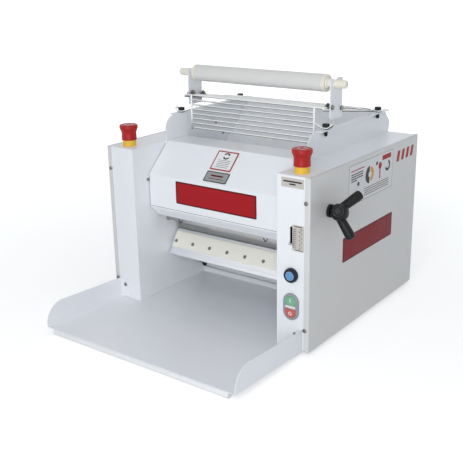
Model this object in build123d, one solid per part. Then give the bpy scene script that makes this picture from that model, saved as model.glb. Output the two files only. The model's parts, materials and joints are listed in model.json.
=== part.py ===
from build123d import *
from math import atan2, cos, degrees, hypot, pi, radians, sin
import os

os.makedirs("parts", exist_ok=True)

# Benchtop dough sheeter. Millimetres, +Z up, +X towards the side with the gap handle, -Y towards the outlet
# tray. While it is drawn, Y = 0 is the front face of the two housings and Z = 0 the counter. All pieces are
# moved together at the end, so that the origin is the middle of the footprint on the counter.

# ---------------------------------------------------- sizes
roll_length = 390.0
roll_end_gap = 5.0
opening_w = roll_length + 2 * roll_end_gap  # between the two housings
housing_w = 80.0
housing_d = 500.0
housing_h = 381.0
foot_h = 8.0
foot_r = 15.0
foot_inset = 40.0
sheet = 2.0
bend_r = 1.5
cover_return = 12.0
cover_gap = 2.0

roll_r = 38.0
journal_r = 12.5
roll_gap_min = 0.6
gap_travel = 9.0
lower_roll_y = 181.0
lower_roll_height = 0.4383  # share of the housings' height, as are the other heights
roll_chamfer = 1.0

running = 0.05  # radial clearance of a turning fit
seat = 0.03  # radial clearance of a fixed fit
clear = 0.3  # gap between pieces that move past each other

bearing_plate_t = 6.0
bearing_body_r = 26.0
bearing_flange_r = 34.0
bearing_flange_t = 5.0
bearing_inset = 0.6  # how far a bearing stands inside the opening

block_l = 48.0
block_w = 46.0
block_lip = 6.0
block_flange_t = 5.8
follower_r = 5.0
follower_arm_w = 16.0

handle_shaft_y = 76.0
handle_shaft_drop = 85.0  # below the housings' tops, as are the other drops
handle_shaft_r = 7.0
handle_turn = 210.0  # degrees from closed to fully open
cam_r_closed = 34.0
cam_t = 9.0
cam_groove_depth = 6.0
cam_rim = 8.0
cam_hub_r = 14.0
cam_hub_l = 12.0
cam_offset = 8.0  # from the bearing plate's outer face
groove_play = 0.15

pointer_module = 1.0
pointer_teeth = 18
pointer_from_wall = 35.0  # outwards from the opening's side, as are the others named so
pointer_drop = 143.0
pointer_t = 4.0
pointer_reach = 7.0
rack_w = 8.0
rack_depth = 8.0
rack_above = 8.0
slot_w = 6.0
slot_end_gap = 1.5

roll_gear_teeth = 13
roll_gear_w = 16.0
roll_gear_tip = 6.6
roll_gear_root = 8.4
roll_gear_offset = 20.0  # from the bearing plate's outer face
gear_module = 2.5
drive_teeth = 56
pinion_teeth = 16
drive_gear_w = 10.0
drive_web_t = 6.0
gear_side_gap = 3.0
jackshaft_r = 10.0
jackshaft_angle = -25.0
jack_boss_r = 22.0
jack_flange_r = 32.0
jack_flange_t = 8.0
jack_boss_l = 24.0

pulley_big_r = 93.0
pulley_small_r = 33.0
groove_depth = 10.0
pulley_w = 13.0
pulley_gap = 4.0
belt_t = 7.5
belt_w = 8.0
belt_below_rim = 1.0

motor_inset = 105.0  # from the housings' back ends
motor_height = 0.2362
motor_r = 58.0
motor_l = 180.0
motor_shaft_r = 9.5
motor_from_wall = 35.0
motor_shaft_depth = 15.0

hood_sheet = 1.5
hood_y = 52.0
hood_bottom_drop = 149.0
hood_bend_drop = 68.0
hood_lip = 22.0
hood_top_y = 124.0
shelf_end_y = 196.0
hood_side_gap = 2.5

hopper_h = 59.0
hopper_front_y = 118.0
hopper_back_y = 472.0
hopper_tail_y = 506.0
hopper_tail_drop = 35.0
hopper_corner_r = 34.0
hopper_flange = 15.0
hopper_below = 44.0

wire_r = 2.0
riser_r = 2.5
guard_rod_r = 3.0
guard_front_y = 191.0
guard_from_wall = -27.0
guard_pitch = 11.2
guard_wires = 8
guard_slot_h = 23.0
guard_rod_drop = 0.1575
guard_eye_w = 15.0
guard_eye_in_from_wall = -6.0
guard_eye_out_from_wall = 22.0
guard_back_eye_from_wall = 15.0
guard_cross_places = (200, 235, 270, 297, 309, 351, 363, 405)
knob_from_wall = 4.3
knob_front_y = 185.5
knob_back_y = 431.0
knob_r = 8.0
knob_h = 7.0
stud_r = 3.0
nut_r = 4.0
nut_h = 11.0
nut_drop = 1.0  # below the flange, clear of its bend

rest_t = 3.0
rest_y = 210.0
rest_w = 50.0
rest_above_flange = 15.0
rest_horn = 12.0
rest_bolt_r = 3.0
rest_bolt_inset = 5.0
rest_washer_r = 9.0

pin_y = 228.0
pin_rise = 151.0
pin_shift = -3.4
pin_handle_r = 9.3
pin_tube_r = 19.5
pin_tube_short = 44.6  # shorter than the opening
pin_plug_l = 8.0
pin_step_r = 13.0
pin_step_l = 3.0
pin_over = 67.0  # the pin with its handles, longer than the opening
pin_spindle_r = 8.0

tray_length = 240.0
tray_from_wall = 64.7
tray_sheet = 1.5
tray_lift = 8.3
tray_flange_back = 50.0
tray_flange_front = 54.5
tray_corner_r = 46.0
tray_depth_inside = 250.0
tray_lip = 14.0
tray_tab_w = 33.0
tray_tab_r = 8.0
bar_r = 8.0
bar_y = -232.5
bar_from_wall = 46.0

apron_length = 70.0
apron_t = 2.0
apron_from_wall = -6.0
apron_hem = 10.0
scraper_t = 3.0
scraper_start = 9.0
scraper_width = 42.0
scraper_from_wall = -6.5
scraper_screws = 8
scraper_end_screw = 14.5  # from the opening's side
scraper_screw_at = 36.0
apron_pivot_dy = -53.0  # from the lower roll's axis
apron_pivot_dz = -57.0
apron_pin_r = 4.0
apron_top_dy = -36.4
apron_top_dz = -11.4
apron_slope = 56.3

estop_from_wall = 39.0
estop_y = 33.0
estop_collar_r = 16.0
estop_collar_h = 15.0
estop_head_r = 21.5
estop_waist_r = 17.4
estop_h = 50.0
estop_skirt = 6.0
estop_travel = 4.0
estop_stem_r = 9.0

button_from_wall = 37.0
reset_height = 0.4422
reset_ring_r = 16.0
reset_ring_l = 10.0
reset_cap_r = 10.2
button_stem_r = 6.0
duo_height = 0.2559
duo_w = 37.0
duo_h = 60.0
duo_depth = 5.0
duo_border = 5.0
duo_hole_w = 25.0
duo_hole_h = 46.0
duo_divider = 9.0
button_recess = 1.5  # how far a button's recess stays in front of the housing
button_travel = 2.0

scale_from_wall = 37.8
scale_w = 27.6
scale_h = 56.0
scale_drop = 130.0

screw_r = 4.0
screw_h = 2.2

# ---------------------------------------------------- derived places
wall = opening_w / 2
outer = wall + housing_w
base = foot_h
top = foot_h + housing_h
plate_in = wall + sheet
plate_out = plate_in + bearing_plate_t
pointer_x = wall + pointer_from_wall
guard_half_w = wall + guard_from_wall
guard_eye_in = wall + guard_eye_in_from_wall
guard_eye_out = wall + guard_eye_out_from_wall
guard_back_eye_out = wall + guard_back_eye_from_wall
knob_x = wall + knob_from_wall
tray_half_w = wall + tray_from_wall
bar_half_l = wall + bar_from_wall
apron_half_w = wall + apron_from_wall
scraper_half_w = wall + scraper_from_wall
estop_x = wall + estop_from_wall
button_x = wall + button_from_wall
scale_x = wall + scale_from_wall
pin_tube_l = opening_w - pin_tube_short
pin_total_l = opening_w + pin_over
scraper_screw_pitch = (opening_w - 2 * scraper_end_screw) / (scraper_screws - 1)
lower_roll_z = base + round(lower_roll_height * housing_h, 1)
handle_shaft_z = top - handle_shaft_drop
pointer_z = top - pointer_drop
hood_bottom = top - hood_bottom_drop
hood_bend_z = top - hood_bend_drop
pin_z = top + pin_rise
reset_z = base + reset_height * housing_h
duo_z = base + duo_height * housing_h
scale_z = top - scale_drop
apron_pivot_y = lower_roll_y + apron_pivot_dy
apron_pivot_z = lower_roll_z + apron_pivot_dz
apron_top_y = lower_roll_y + apron_top_dy
apron_top_z = lower_roll_z + apron_top_dz
lower_c = (lower_roll_y, lower_roll_z)
shaft_c = (handle_shaft_y, handle_shaft_z)
line_length = hypot(shaft_c[0] - lower_c[0], shaft_c[1] - lower_c[1])
line = ((shaft_c[0] - lower_c[0]) / line_length, (shaft_c[1] - lower_c[1]) / line_length)
line_angle = degrees(atan2(line[1], line[0]))
roll_distance = 2 * roll_r + roll_gap_min
upper_c = (lower_c[0] + line[0] * roll_distance, lower_c[1] + line[1] * roll_distance)
follower_c = (shaft_c[0] - line[0] * cam_r_closed, shaft_c[1] - line[1] * cam_r_closed)
cam_rise = gap_travel / radians(handle_turn)
gear_distance = gear_module * (drive_teeth + pinion_teeth) / 2
jack_c = (
    lower_c[0] + gear_distance * cos(radians(jackshaft_angle)),
    lower_c[1] + gear_distance * sin(radians(jackshaft_angle)),
)
motor_y = housing_d - motor_inset
motor_z = base + round(motor_height * housing_h, 1)
motor_c = (motor_y, motor_z)
gear_x = plate_out + roll_gear_offset
drive_x = gear_x + roll_gear_w + gear_side_gap
pulley_x = drive_x + drive_gear_w + pulley_gap
pinion_r = pointer_module * pointer_teeth / 2
pointer_travel = pinion_r * radians(handle_turn)
hopper_top = top + hopper_h
flange_top = hopper_top
eye_z = flange_top + clear + wire_r
knob_seat = eye_z + wire_r + clear + 0.2
guard_bottom = top + guard_slot_h
tray_bottom = base


# ---------------------------------------------------- drawing helpers
def slab_x(sketch, x0, x1):
    """A sketch drawn in Y and Z, made solid from x0 to x1."""
    return extrude(Plane.YZ.offset(x0) * sketch, amount=x1 - x0)


def slab_y(sketch, y0, y1):
    """A sketch drawn in X and Z, made solid from y0 to y1."""
    return extrude(Plane.XZ.offset(-y1) * sketch, amount=y1 - y0)


def slab_z(sketch, z0, z1):
    """A sketch drawn in X and Y, made solid from z0 to z1."""
    return extrude(Plane.XY.offset(z0) * sketch, amount=z1 - z0)


def rod_x(centre, r, x0, x1):
    return slab_x(Pos(centre[0], centre[1]) * Circle(r), x0, x1)


def rod_y(x, z, r, y0, y1):
    return slab_y(Pos(x, z) * Circle(r), y0, y1)


def rod_z(x, y, r, z0, z1):
    return slab_z(Pos(x, y) * Circle(r), z0, z1)


def block(x0, x1, y0, y1, z0, z1):
    return Pos((x0 + x1) / 2, (y0 + y1) / 2, (z0 + z1) / 2) * Box(x1 - x0, y1 - y0, z1 - z0)


def polygon(points):
    return make_face(Polyline(*points, close=True))


def folded(points, thickness, radius=bend_r):
    """The section of a bent sheet whose middle line runs through the points."""
    if len(points) > 2:
        path = FilletPolyline(*points, radius=radius + thickness / 2)
    else:
        path = Polyline(*points)
    return trace(path, line_width=thickness)


def other_side(shape):
    return mirror(shape, about=Plane.YZ)


def pair(shape):
    return Compound(children=[other_side(shape), shape])


def group(shapes):
    solids = []
    for shape in shapes:
        solids.extend(shape.solids())
    return Compound(children=solids)


def between(p, q, r):
    """A round bar from point p to point q."""
    axis = Vector(*q) - Vector(*p)
    return Plane(origin=p, z_dir=axis) * extrude(Circle(r), amount=axis.length)


def gear_outline(teeth, pitch_r, tip, root, pressure, thin):
    """Straight-flanked teeth with a crowned tip. thin is taken off each tooth's width at the pitch line."""
    points = []
    half = pi * pitch_r / teeth / 2 - thin / 2
    slope = sin(radians(pressure)) / cos(radians(pressure))
    for tooth in range(teeth):
        middle = 2 * pi * tooth / teeth
        profile = (
            (pitch_r - root, half + root * slope),
            (pitch_r, half),
            (pitch_r + 0.6 * tip, half - 0.6 * tip * slope * 1.25),
            (pitch_r + tip, half - tip * slope * 1.7),
        )
        for radius, width in profile:
            points.append((radius, middle - width / radius))
        for radius, width in reversed(profile):
            points.append((radius, middle + width / radius))
    return polygon([(r * cos(a), r * sin(a)) for r, a in points])


def screw_head(centre, direction, r=screw_r, h=screw_h):
    """A low round head that sits on the surface at centre and points along direction."""
    head = extrude(Circle(r), amount=h)
    head = chamfer(head.edges().sort_by(Axis.Z)[-1], h * 0.4)
    return Plane(origin=centre, z_dir=direction) * head


parts = {}

# ---------------------------------------------------- bearing openings shared by walls and plates
slot_sketch = (
    Pos(upper_c[0] + line[0] * gap_travel / 2, upper_c[1] + line[1] * gap_travel / 2)
    * Rot(0, 0, line_angle)
    * Rectangle(block_l + gap_travel + 4 * running, block_w + 4 * running)
)


# ---------------------------------------------------- housings
def housing():
    """One housing for the +X side: a folded box, open towards its outer cover."""
    edge = outer - sheet - cover_gap
    body = block(wall, edge, 0, housing_d, base, top)
    long_edges = body.edges().filter_by(Axis.X)
    body = fillet(long_edges, bend_r + sheet)
    inside = block(wall + sheet, edge + 1, sheet, housing_d - sheet, base + sheet, top - sheet)
    inside = fillet(inside.edges().filter_by(Axis.X), bend_r)
    body -= inside
    body -= slab_x(slot_sketch, wall - 1, plate_in + 1)
    body -= rod_x(lower_c, bearing_body_r + clear, wall - 1, plate_in + 1)
    body -= rod_x(shaft_c, handle_shaft_r + clear, wall - 1, plate_in + 1)
    body -= rod_x((apron_pivot_y, apron_pivot_z), apron_pin_r + clear, wall - 1, plate_in + 1)
    for place in tie_places:
        body -= rod_x(place, tie_r + clear, wall - 1, plate_in + 1)
    body -= rod_z(estop_x, estop_y, estop_stem_r + 2 + seat, top - sheet - 1, top + 1)
    return body


tie_r = 7.0
tie_places = ((108.0, top - 59), (292.0, base + 74))

right = housing()
left = other_side(right)
left -= rod_x(motor_c, motor_shaft_r + 6, -plate_in - 1, -wall + 1)
left -= rod_x(jack_c, jack_boss_r + clear, -plate_in - 1, -wall + 1)

duo_hole = Pos(button_x, duo_z) * Rectangle(duo_hole_w, duo_hole_h)
slot_bottom = pointer_z - pointer_t / 2 - slot_end_gap
slot_top = pointer_z + pointer_travel + pointer_t / 2 + slot_end_gap
slot_height = slot_top - slot_bottom
slot_place = Pos(pointer_x, (slot_top + slot_bottom) / 2)
right -= slab_y(slot_place * SlotOverall(slot_height, slot_w, rotation=90), -1, 5)
right -= rod_y(button_x, reset_z, reset_cap_r - 1, -1, 5)
right -= slab_y(duo_hole, -1, 5)

# The guide that carries the rack of the gap pointer is welded behind the front of the right housing.
rack_back = handle_shaft_y - pinion_r - rack_depth
guide_bottom = pointer_z + pointer_travel + 8
guide_top = handle_shaft_z + rack_above + pointer_travel + 2
guide = block(
    pointer_x - rack_w / 2 - 2,
    pointer_x + rack_w / 2 + 2,
    sheet,
    rack_back + 5,
    guide_bottom,
    guide_top,
)
guide -= block(
    pointer_x - rack_w / 2 - running,
    pointer_x + rack_w / 2 + running,
    rack_back - running,
    rack_back + 6,
    guide_bottom - 1,
    guide_top + 1,
)
guide -= block(pointer_x - 4, pointer_x + 4, 8, rack_back - 8, guide_bottom - 1, guide_top - 12)
right += guide
parts["housing_left"] = left
parts["housing_right"] = right

cover_path = [
    (outer - cover_return, -sheet / 2),
    (outer - sheet / 2, -sheet / 2),
    (outer - sheet / 2, housing_d + sheet / 2),
    (outer - cover_return, housing_d + sheet / 2),
]
cover = slab_z(folded(cover_path, sheet, bend_r), base, top)
parts["side_cover_left"] = other_side(cover)
bush_r = 9.9
parts["side_cover_right"] = cover - rod_x(shaft_c, bush_r + seat, outer - sheet - 1, outer + 1)

# ---------------------------------------------------- bearing plates, tie bars, base, guards, back
plate_outline = [
    (handle_shaft_y - 40, lower_roll_z - 83),
    (handle_shaft_y - 40, handle_shaft_z - 4),
    (handle_shaft_y - 16, handle_shaft_z + 46),
    (handle_shaft_y + 44, handle_shaft_z + 46),
    (lower_roll_y + 47, lower_roll_z + 87),
    (jack_c[0] + 41, jack_c[1] + 41),
    (jack_c[0] + 41, lower_roll_z - 109),
    (lower_roll_y - 1, lower_roll_z - 109),
]
plate_face = polygon(plate_outline)
plate_face = fillet(plate_face.vertices(), 12)
plate = slab_x(plate_face, plate_in, plate_out)
plate -= slab_x(slot_sketch, plate_in - 1, plate_out + 1)
plate -= rod_x(lower_c, bearing_body_r + seat, plate_in - 1, plate_out + 1)
plate -= rod_x(shaft_c, handle_shaft_r + running, plate_in - 1, plate_out + 1)
plate -= rod_x((apron_pivot_y, apron_pivot_z), apron_pin_r + running, plate_in - 1, plate_out + 1)
left_plate = other_side(plate) - rod_x(jack_c, jack_boss_r + seat, -plate_out - 1, -plate_in + 1)
parts["bearing_plates"] = Compound(children=[left_plate.solid(), plate.solid()])

parts["tie_bars"] = group([rod_x(place, tie_r, -plate_in, plate_in) for place in tie_places])

base_front_y = 262.0
base_t = 2.5
base_path = [(-wall + 1.5, 45), (-wall + 1.5, base + 5), (wall - 1.5, base + 5), (wall - 1.5, 45)]
parts["base_plate"] = slab_y(folded(base_path, base_t, 2), base_front_y, housing_d - 4)

guard_plate_y = 257.0
guard_plate_top = base + 164
guard_plate_path = [
    (guard_plate_y, base + 2),
    (guard_plate_y, guard_plate_top),
    (guard_plate_y + 18, guard_plate_top),
]
parts["motor_guard"] = slab_x(folded(guard_plate_path, hood_sheet), -wall + clear, wall - clear)

back_face = Pos(0, (base + 2 + top) / 2) * Rectangle(opening_w - 2 * clear, housing_h - 2)
back = slab_y(back_face, housing_d - sheet, housing_d)
vent_count = 7
vent_pitch = 13.0
vent_l = 86.0
vent_w = 5.0
vent_x = 55.0
for vent in range(vent_count):
    height = motor_z + (vent - (vent_count - 1) / 2) * vent_pitch
    for side in (-1, 1):
        vent_face = Pos(side * vent_x, height) * SlotOverall(vent_l, vent_w)
        back -= slab_y(vent_face, housing_d - sheet - 1, housing_d + 1)
parts["rear_panel"] = back

foot = Rot(180, 0, 0) * extrude(Circle(foot_r), amount=foot_h, taper=8)
feet = []
for foot_y in (foot_inset, housing_d - foot_inset):
    for side in (-1, 1):
        feet.append(Pos(side * (outer - housing_w / 2), foot_y, foot_h) * foot)
parts["rubber_feet"] = group(feet)

# ---------------------------------------------------- hood, hopper sides and rear chute
hood_points = [
    (hood_y + hood_lip, hood_bottom - hood_lip - 2),
    (hood_y, hood_bottom),
    (hood_y, hood_bend_z),
    (hood_top_y, top - hood_sheet / 2),
    (shelf_end_y, top - hood_sheet / 2),
    (shelf_end_y - 26, top - 104),
]
hood_half_w = wall - hood_side_gap
hood = slab_x(folded(hood_points, hood_sheet, 2.5), -hood_half_w, hood_half_w)
hood_rim = 12.0
rim_face = polygon(
    [
        (hood_y + hood_sheet / 2, hood_bottom + 4),
        (hood_y + hood_sheet / 2, hood_bend_z),
        (hood_top_y, top - hood_sheet),
        (hood_top_y + 14, top - hood_sheet),
        (hood_y + hood_rim, hood_bend_z - 5),
        (hood_y + hood_rim, hood_bottom + 10),
    ]
)
rim = slab_x(rim_face, hood_half_w - hood_sheet, hood_half_w)
parts["front_hood"] = hood + rim + other_side(rim)

tail_top = hopper_top - hopper_tail_drop
side_points = [
    (hopper_front_y, top - hopper_below),
    (hopper_front_y, hopper_top),
    (hopper_back_y, hopper_top),
    (hopper_tail_y, tail_top),
    (housing_d + 2, top + 1),
    (housing_d - 4, top + 1),
    (housing_d - 4, top - hopper_below),
]
side_face = polygon(side_points)
front_corner = side_face.vertices().sort_by_distance(Vector(hopper_front_y, hopper_top))[0]
side_face = fillet(front_corner, hopper_corner_r)
hopper_side = slab_x(side_face, wall - sheet, wall)
flange_path = [
    (wall - sheet / 2, hopper_top - 8),
    (wall - sheet / 2, hopper_top - sheet / 2),
    (wall + hopper_flange, hopper_top - sheet / 2),
]
flange_front_y = hopper_front_y + hopper_corner_r
flange = slab_y(folded(flange_path, sheet, bend_r), flange_front_y, hopper_back_y)
corner_trim = block(wall - sheet - 1, wall + 1, flange_front_y, hopper_back_y, hopper_top - 7, hopper_top + 1)
hopper_side = (hopper_side - corner_trim) + flange
for knob_y in (knob_front_y, knob_back_y):
    hopper_side -= rod_z(knob_x, knob_y, stud_r + running, hopper_top - sheet - 1, hopper_top + 1)
parts["hopper_side_left"] = other_side(hopper_side)
parts["hopper_side_right"] = hopper_side

chute_points = [
    (lower_c[0] + (roll_r + 2) * cos(radians(55)), lower_c[1] + (roll_r + 2) * sin(radians(55)) + 3),
    (hopper_back_y - 4, hopper_top - 3),
    (hopper_tail_y - 3, tail_top - 1),
    (housing_d + 1.5, top + 2),
]
chute_half_w = wall - sheet - 0.5
parts["rear_chute"] = slab_x(folded(chute_points, hood_sheet, 2.5), -chute_half_w, chute_half_w)

# ---------------------------------------------------- rolls and their bearings
def roll(centre, left_end, right_end):
    body = rod_x(centre, roll_r, -roll_length / 2, roll_length / 2)
    body = chamfer(body.edges(), roll_chamfer)
    return body + rod_x(centre, journal_r, -left_end, right_end)


parts["roll_lower"] = roll(lower_c, drive_x + drive_gear_w + 2, plate_out + bearing_flange_t)
parts["roll_upper"] = roll(upper_c, gear_x + roll_gear_w + 1.5, plate_out + block_flange_t)

bearing = rod_x(lower_c, bearing_body_r, wall - bearing_inset, plate_out)
bearing += rod_x(lower_c, bearing_flange_r, plate_out, plate_out + bearing_flange_t)
bearing -= rod_x(lower_c, journal_r + running, wall - 2, plate_out + 10)
parts["lower_bearings"] = pair(bearing.solid())

block_place = Pos(upper_c[0], upper_c[1]) * Rot(0, 0, line_angle)
flange_in = plate_out + 0.2
flange_out = plate_out + block_flange_t
slide_block = slab_x(block_place * Rectangle(block_l, block_w), wall - bearing_inset, flange_in)
block_flange = block_place * RectangleRounded(block_l, block_w + 2 * block_lip, 3)
slide_block += slab_x(block_flange, flange_in, flange_out)
arm_length = line_length - roll_distance - cam_r_closed + follower_arm_w / 2
arm_sketch = block_place * Pos(arm_length / 2, 0) * RectangleRounded(arm_length, follower_arm_w, 7.9)
slide_block += slab_x(arm_sketch, flange_in, flange_out)
slide_block += rod_x(follower_c, follower_r, flange_out - 1, plate_out + cam_offset + cam_groove_depth - 0.5)
slide_block -= rod_x(upper_c, journal_r + running, wall - 2, plate_out + 10)
parts["bearing_blocks"] = pair(slide_block.solid())

# ---------------------------------------------------- gap control: shaft, spiral cams, handle, pointer
cam_in = plate_out + cam_offset
rest_angle = atan2(-line[1], -line[0])
groove_points = []
groove_steps = 16
overrun = 4.0
for step in range(groove_steps + 1):
    turned = radians(-overrun + (handle_turn + 2 * overrun) * step / groove_steps)
    radius = cam_r_closed - cam_rise * turned
    angle = rest_angle + turned
    groove_points.append((shaft_c[0] + radius * cos(angle), shaft_c[1] + radius * sin(angle)))
groove_sketch = trace(Spline(*groove_points), line_width=2 * (follower_r + groove_play))
for end in (groove_points[0], groove_points[-1]):
    groove_sketch += Pos(end[0], end[1]) * Circle(follower_r + groove_play)
cam = rod_x(shaft_c, cam_r_closed + cam_rim, cam_in, cam_in + cam_t)
cam -= slab_x(groove_sketch, cam_in - 1, cam_in + cam_groove_depth)
cam += rod_x(shaft_c, cam_hub_r, cam_in + cam_t, cam_in + cam_hub_l)
cam -= rod_x(shaft_c, handle_shaft_r + seat, cam_in - 1, cam_in + cam_hub_l + 1)
parts["gap_cams"] = pair(cam.solid())

hub_x = outer + 17.0  # where the arms' axes meet
hub_r = 18.0
hub_back = 8.0
hub_front = 12.0
hub_dome = 14.0
neck_r = 13.0
arm_tip_x = outer + 47.0
arm_reach = 51.0
arm_nose = 5.0
arm_angles = (38.0, -82.0, 158.0)
arm_root_r = 10.3
arm_tip_r = 10.8
bush_flange_r = 14.0
bush_flange_t = 6.0

pinion_x0 = pointer_x - rack_w / 2
pointer_pinion = gear_outline(pointer_teeth, pinion_r, pointer_module, 1.25 * pointer_module, 20, 0.2)
pinion_phase = 180 / pointer_teeth
shaft = rod_x(shaft_c, handle_shaft_r, -(cam_in + cam_hub_l + 2), hub_x + hub_front - 3)
pinion_place = Pos(shaft_c[0], shaft_c[1]) * Rot(0, 0, pinion_phase)
shaft += slab_x(pinion_place * pointer_pinion, pinion_x0, pinion_x0 + rack_w)
parts["gap_shaft"] = shaft

gap_bush = rod_x(shaft_c, bush_flange_r, outer, outer + bush_flange_t)
gap_bush += rod_x(shaft_c, bush_r, outer - 4, outer)
gap_bush -= rod_x(shaft_c, handle_shaft_r + running, outer - 5, outer + bush_flange_t + 1)
parts["handle_bush"] = gap_bush



def dome(r, height):
    """Half the section of a ball-nosed piece, from its axis at the top round to its rim at height 0."""
    return [(r, 0), (0.8 * r, 0.6 * height), (0.4 * r, 0.92 * height), (0, height)]


def handle_arm(angle):
    """A tapered arm with a rounded end, leaning outwards from the hub."""
    reach = (arm_reach * cos(radians(angle)), arm_reach * sin(radians(angle)))
    root = Vector(hub_x, shaft_c[0], shaft_c[1])
    tip = Vector(arm_tip_x, shaft_c[0] + reach[0], shaft_c[1] + reach[1])
    length = (tip - root).length
    nose = [(r, length + height) for r, height in dome(arm_tip_r, arm_nose)]
    section = [(0, 0), (arm_root_r, 0), *nose]
    return Plane(origin=root, z_dir=tip - root) * revolve(Plane.XZ * polygon(section), Axis.Z)


hub_nose = [(r, hub_front + height) for r, height in dome(hub_r, hub_dome)]
hub_section = [(0, -hub_back), (neck_r, -hub_back), (hub_r, 0), *hub_nose]
hub = revolve(Plane.XZ * polygon(hub_section), Axis.Z)
handle = rod_x(shaft_c, neck_r, outer + bush_flange_t + 1, hub_x)
handle += Plane(origin=(hub_x, shaft_c[0], shaft_c[1]), z_dir=(1, 0, 0)) * hub
for angle in arm_angles:
    handle += handle_arm(angle)
handle -= rod_x(shaft_c, handle_shaft_r + seat, outer + bush_flange_t, hub_x + hub_front - 2)
parts["gap_handle"] = handle

rack_bottom = pointer_z - pointer_t / 2
rack_top = handle_shaft_z + rack_above
pitch_y = handle_shaft_y - pinion_r
root_y = pitch_y - 1.25 * pointer_module
rack_points = [(rack_back, rack_bottom), (rack_back, rack_top), (root_y, rack_top)]
tooth_pitch = pi * pointer_module
flank = 0.364
half_tooth = tooth_pitch / 4 - 0.1
highest = int(rack_above / tooth_pitch)
lowest = -int((pointer_travel + 4) / tooth_pitch) - 1
for tooth in range(highest - 1, lowest, -1):
    middle = handle_shaft_z + (tooth + 0.5) * tooth_pitch + tooth_pitch / 2
    rack_points.append((root_y, middle + half_tooth + 1.25 * pointer_module * flank))
    rack_points.append((pitch_y + pointer_module, middle + half_tooth - pointer_module * flank))
    rack_points.append((pitch_y + pointer_module, middle - half_tooth + pointer_module * flank))
    rack_points.append((root_y, middle - half_tooth - 1.25 * pointer_module * flank))
rack_points.append((root_y, rack_bottom))
pointer = slab_x(polygon(rack_points), pinion_x0, pinion_x0 + rack_w)
finger_x = pointer_x - pointer_t / 2
finger_top = rack_bottom + pointer_t
finger = block(finger_x, finger_x + pointer_t, -pointer_reach, rack_back + 1, rack_bottom, finger_top)
flag = block(finger_x, pointer_x + 7, -pointer_reach, -pointer_reach + 2, rack_bottom, finger_top)
flag = chamfer(flag.edges().filter_by(Axis.Y).group_by(Axis.X)[-1], 1.8)
parts["gap_pointer"] = pointer + finger + flag

# ---------------------------------------------------- drive: roll gears, reduction, belt, motor
roll_gear_face = gear_outline(roll_gear_teeth, roll_distance / 2, roll_gear_tip, roll_gear_root, 14, 1.4)


def roll_gear(centre, turn):
    face = Pos(centre[0], centre[1]) * Rot(0, 0, turn) * roll_gear_face
    gear = slab_x(face, -gear_x - roll_gear_w, -gear_x)
    return gear - rod_x(centre, journal_r + seat, -gear_x - roll_gear_w - 1, -gear_x + 1)


parts["roll_gear_lower"] = roll_gear(lower_c, line_angle)
parts["roll_gear_upper"] = roll_gear(upper_c, line_angle + 180 + 180 / roll_gear_teeth)

drive_r = gear_module * drive_teeth / 2
drive_face = gear_outline(drive_teeth, drive_r, gear_module, 1.25 * gear_module, 20, 0.35)
drive_gear = slab_x(
    Pos(lower_c[0], lower_c[1]) * Rot(0, 0, jackshaft_angle) * drive_face, -drive_x - drive_gear_w, -drive_x
)
web_cut = Circle(drive_r - 10) - Circle(24)
for face_x in (-drive_x - drive_gear_w, -drive_x - (drive_gear_w - drive_web_t) / 2):
    depth = (drive_gear_w - drive_web_t) / 2
    drive_gear -= slab_x(Pos(lower_c[0], lower_c[1]) * web_cut, face_x, face_x + depth)
web_holes = 5
for hole in range(web_holes):
    hole_face = Pos(lower_c[0], lower_c[1]) * Rot(0, 0, 360 / web_holes * hole) * Pos(42, 0) * Circle(11)
    drive_gear -= slab_x(hole_face, -drive_x - drive_gear_w - 1, -drive_x + 1)
drive_gear -= rod_x(lower_c, journal_r + seat, -drive_x - drive_gear_w - 1, -drive_x + 1)
parts["drive_gear"] = drive_gear

pinion_pitch_r = gear_module * pinion_teeth / 2
pinion_face = gear_outline(pinion_teeth, pinion_pitch_r, gear_module, 1.25 * gear_module, 20, 0.35)
pinion_turn = jackshaft_angle + 180 + 180 / pinion_teeth
jackshaft = rod_x(jack_c, jackshaft_r, -pulley_x - pulley_w - 1, -plate_in)
pinion_place = Pos(jack_c[0], jack_c[1]) * Rot(0, 0, pinion_turn)
jackshaft += slab_x(pinion_place * pinion_face, -drive_x - drive_gear_w - 1, -drive_x + 1)
parts["jackshaft"] = jackshaft

jack_bearing = rod_x(jack_c, jack_boss_r, -plate_out, -wall)
jack_bearing += rod_x(jack_c, jack_flange_r, -plate_out - jack_flange_t, -plate_out)
jack_bearing += rod_x(jack_c, jack_boss_r, -plate_out - jack_boss_l, -plate_out - jack_flange_t)
jack_bearing -= rod_x(jack_c, jackshaft_r + running, -plate_out - jack_boss_l - 1, -plate_in)
parts["jackshaft_bearing"] = jack_bearing


def pulley(centre, rim_r, bore_r, hub_r):
    """A V-grooved pulley, drawn as a turned section about its own axis."""
    half = pulley_w / 2
    groove_r = rim_r - groove_depth
    section = [
        (bore_r, -half),
        (rim_r, -half),
        (rim_r, -half + 1),
        (groove_r, -belt_w / 2 + 0.1),
        (groove_r, belt_w / 2 - 0.1),
        (rim_r, half - 1),
        (rim_r, half),
        (bore_r, half),
    ]
    body = revolve(Plane.XZ * polygon(section), Axis.Z)
    if groove_r - hub_r > 30:
        web = Circle(groove_r - 7) - Circle(hub_r)
        body -= extrude(Plane.XY.offset(2.5) * web, amount=half)
        body -= extrude(Plane.XY.offset(-half - 1) * web, amount=half - 1.5)
        spread = (groove_r - 7 + hub_r) / 2
        for hole in range(6):
            body -= Rot(0, 0, 60 * hole) * Pos(spread, 0, 0) * Cylinder(17, pulley_w + 2)
    return Pos(-pulley_x - half, centre[0], centre[1]) * Rot(0, 90, 0) * body


parts["pulley_large"] = pulley(jack_c, pulley_big_r, jackshaft_r + seat, 20)
parts["pulley_motor"] = pulley(motor_c, pulley_small_r, motor_shaft_r + seat, 20)


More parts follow.
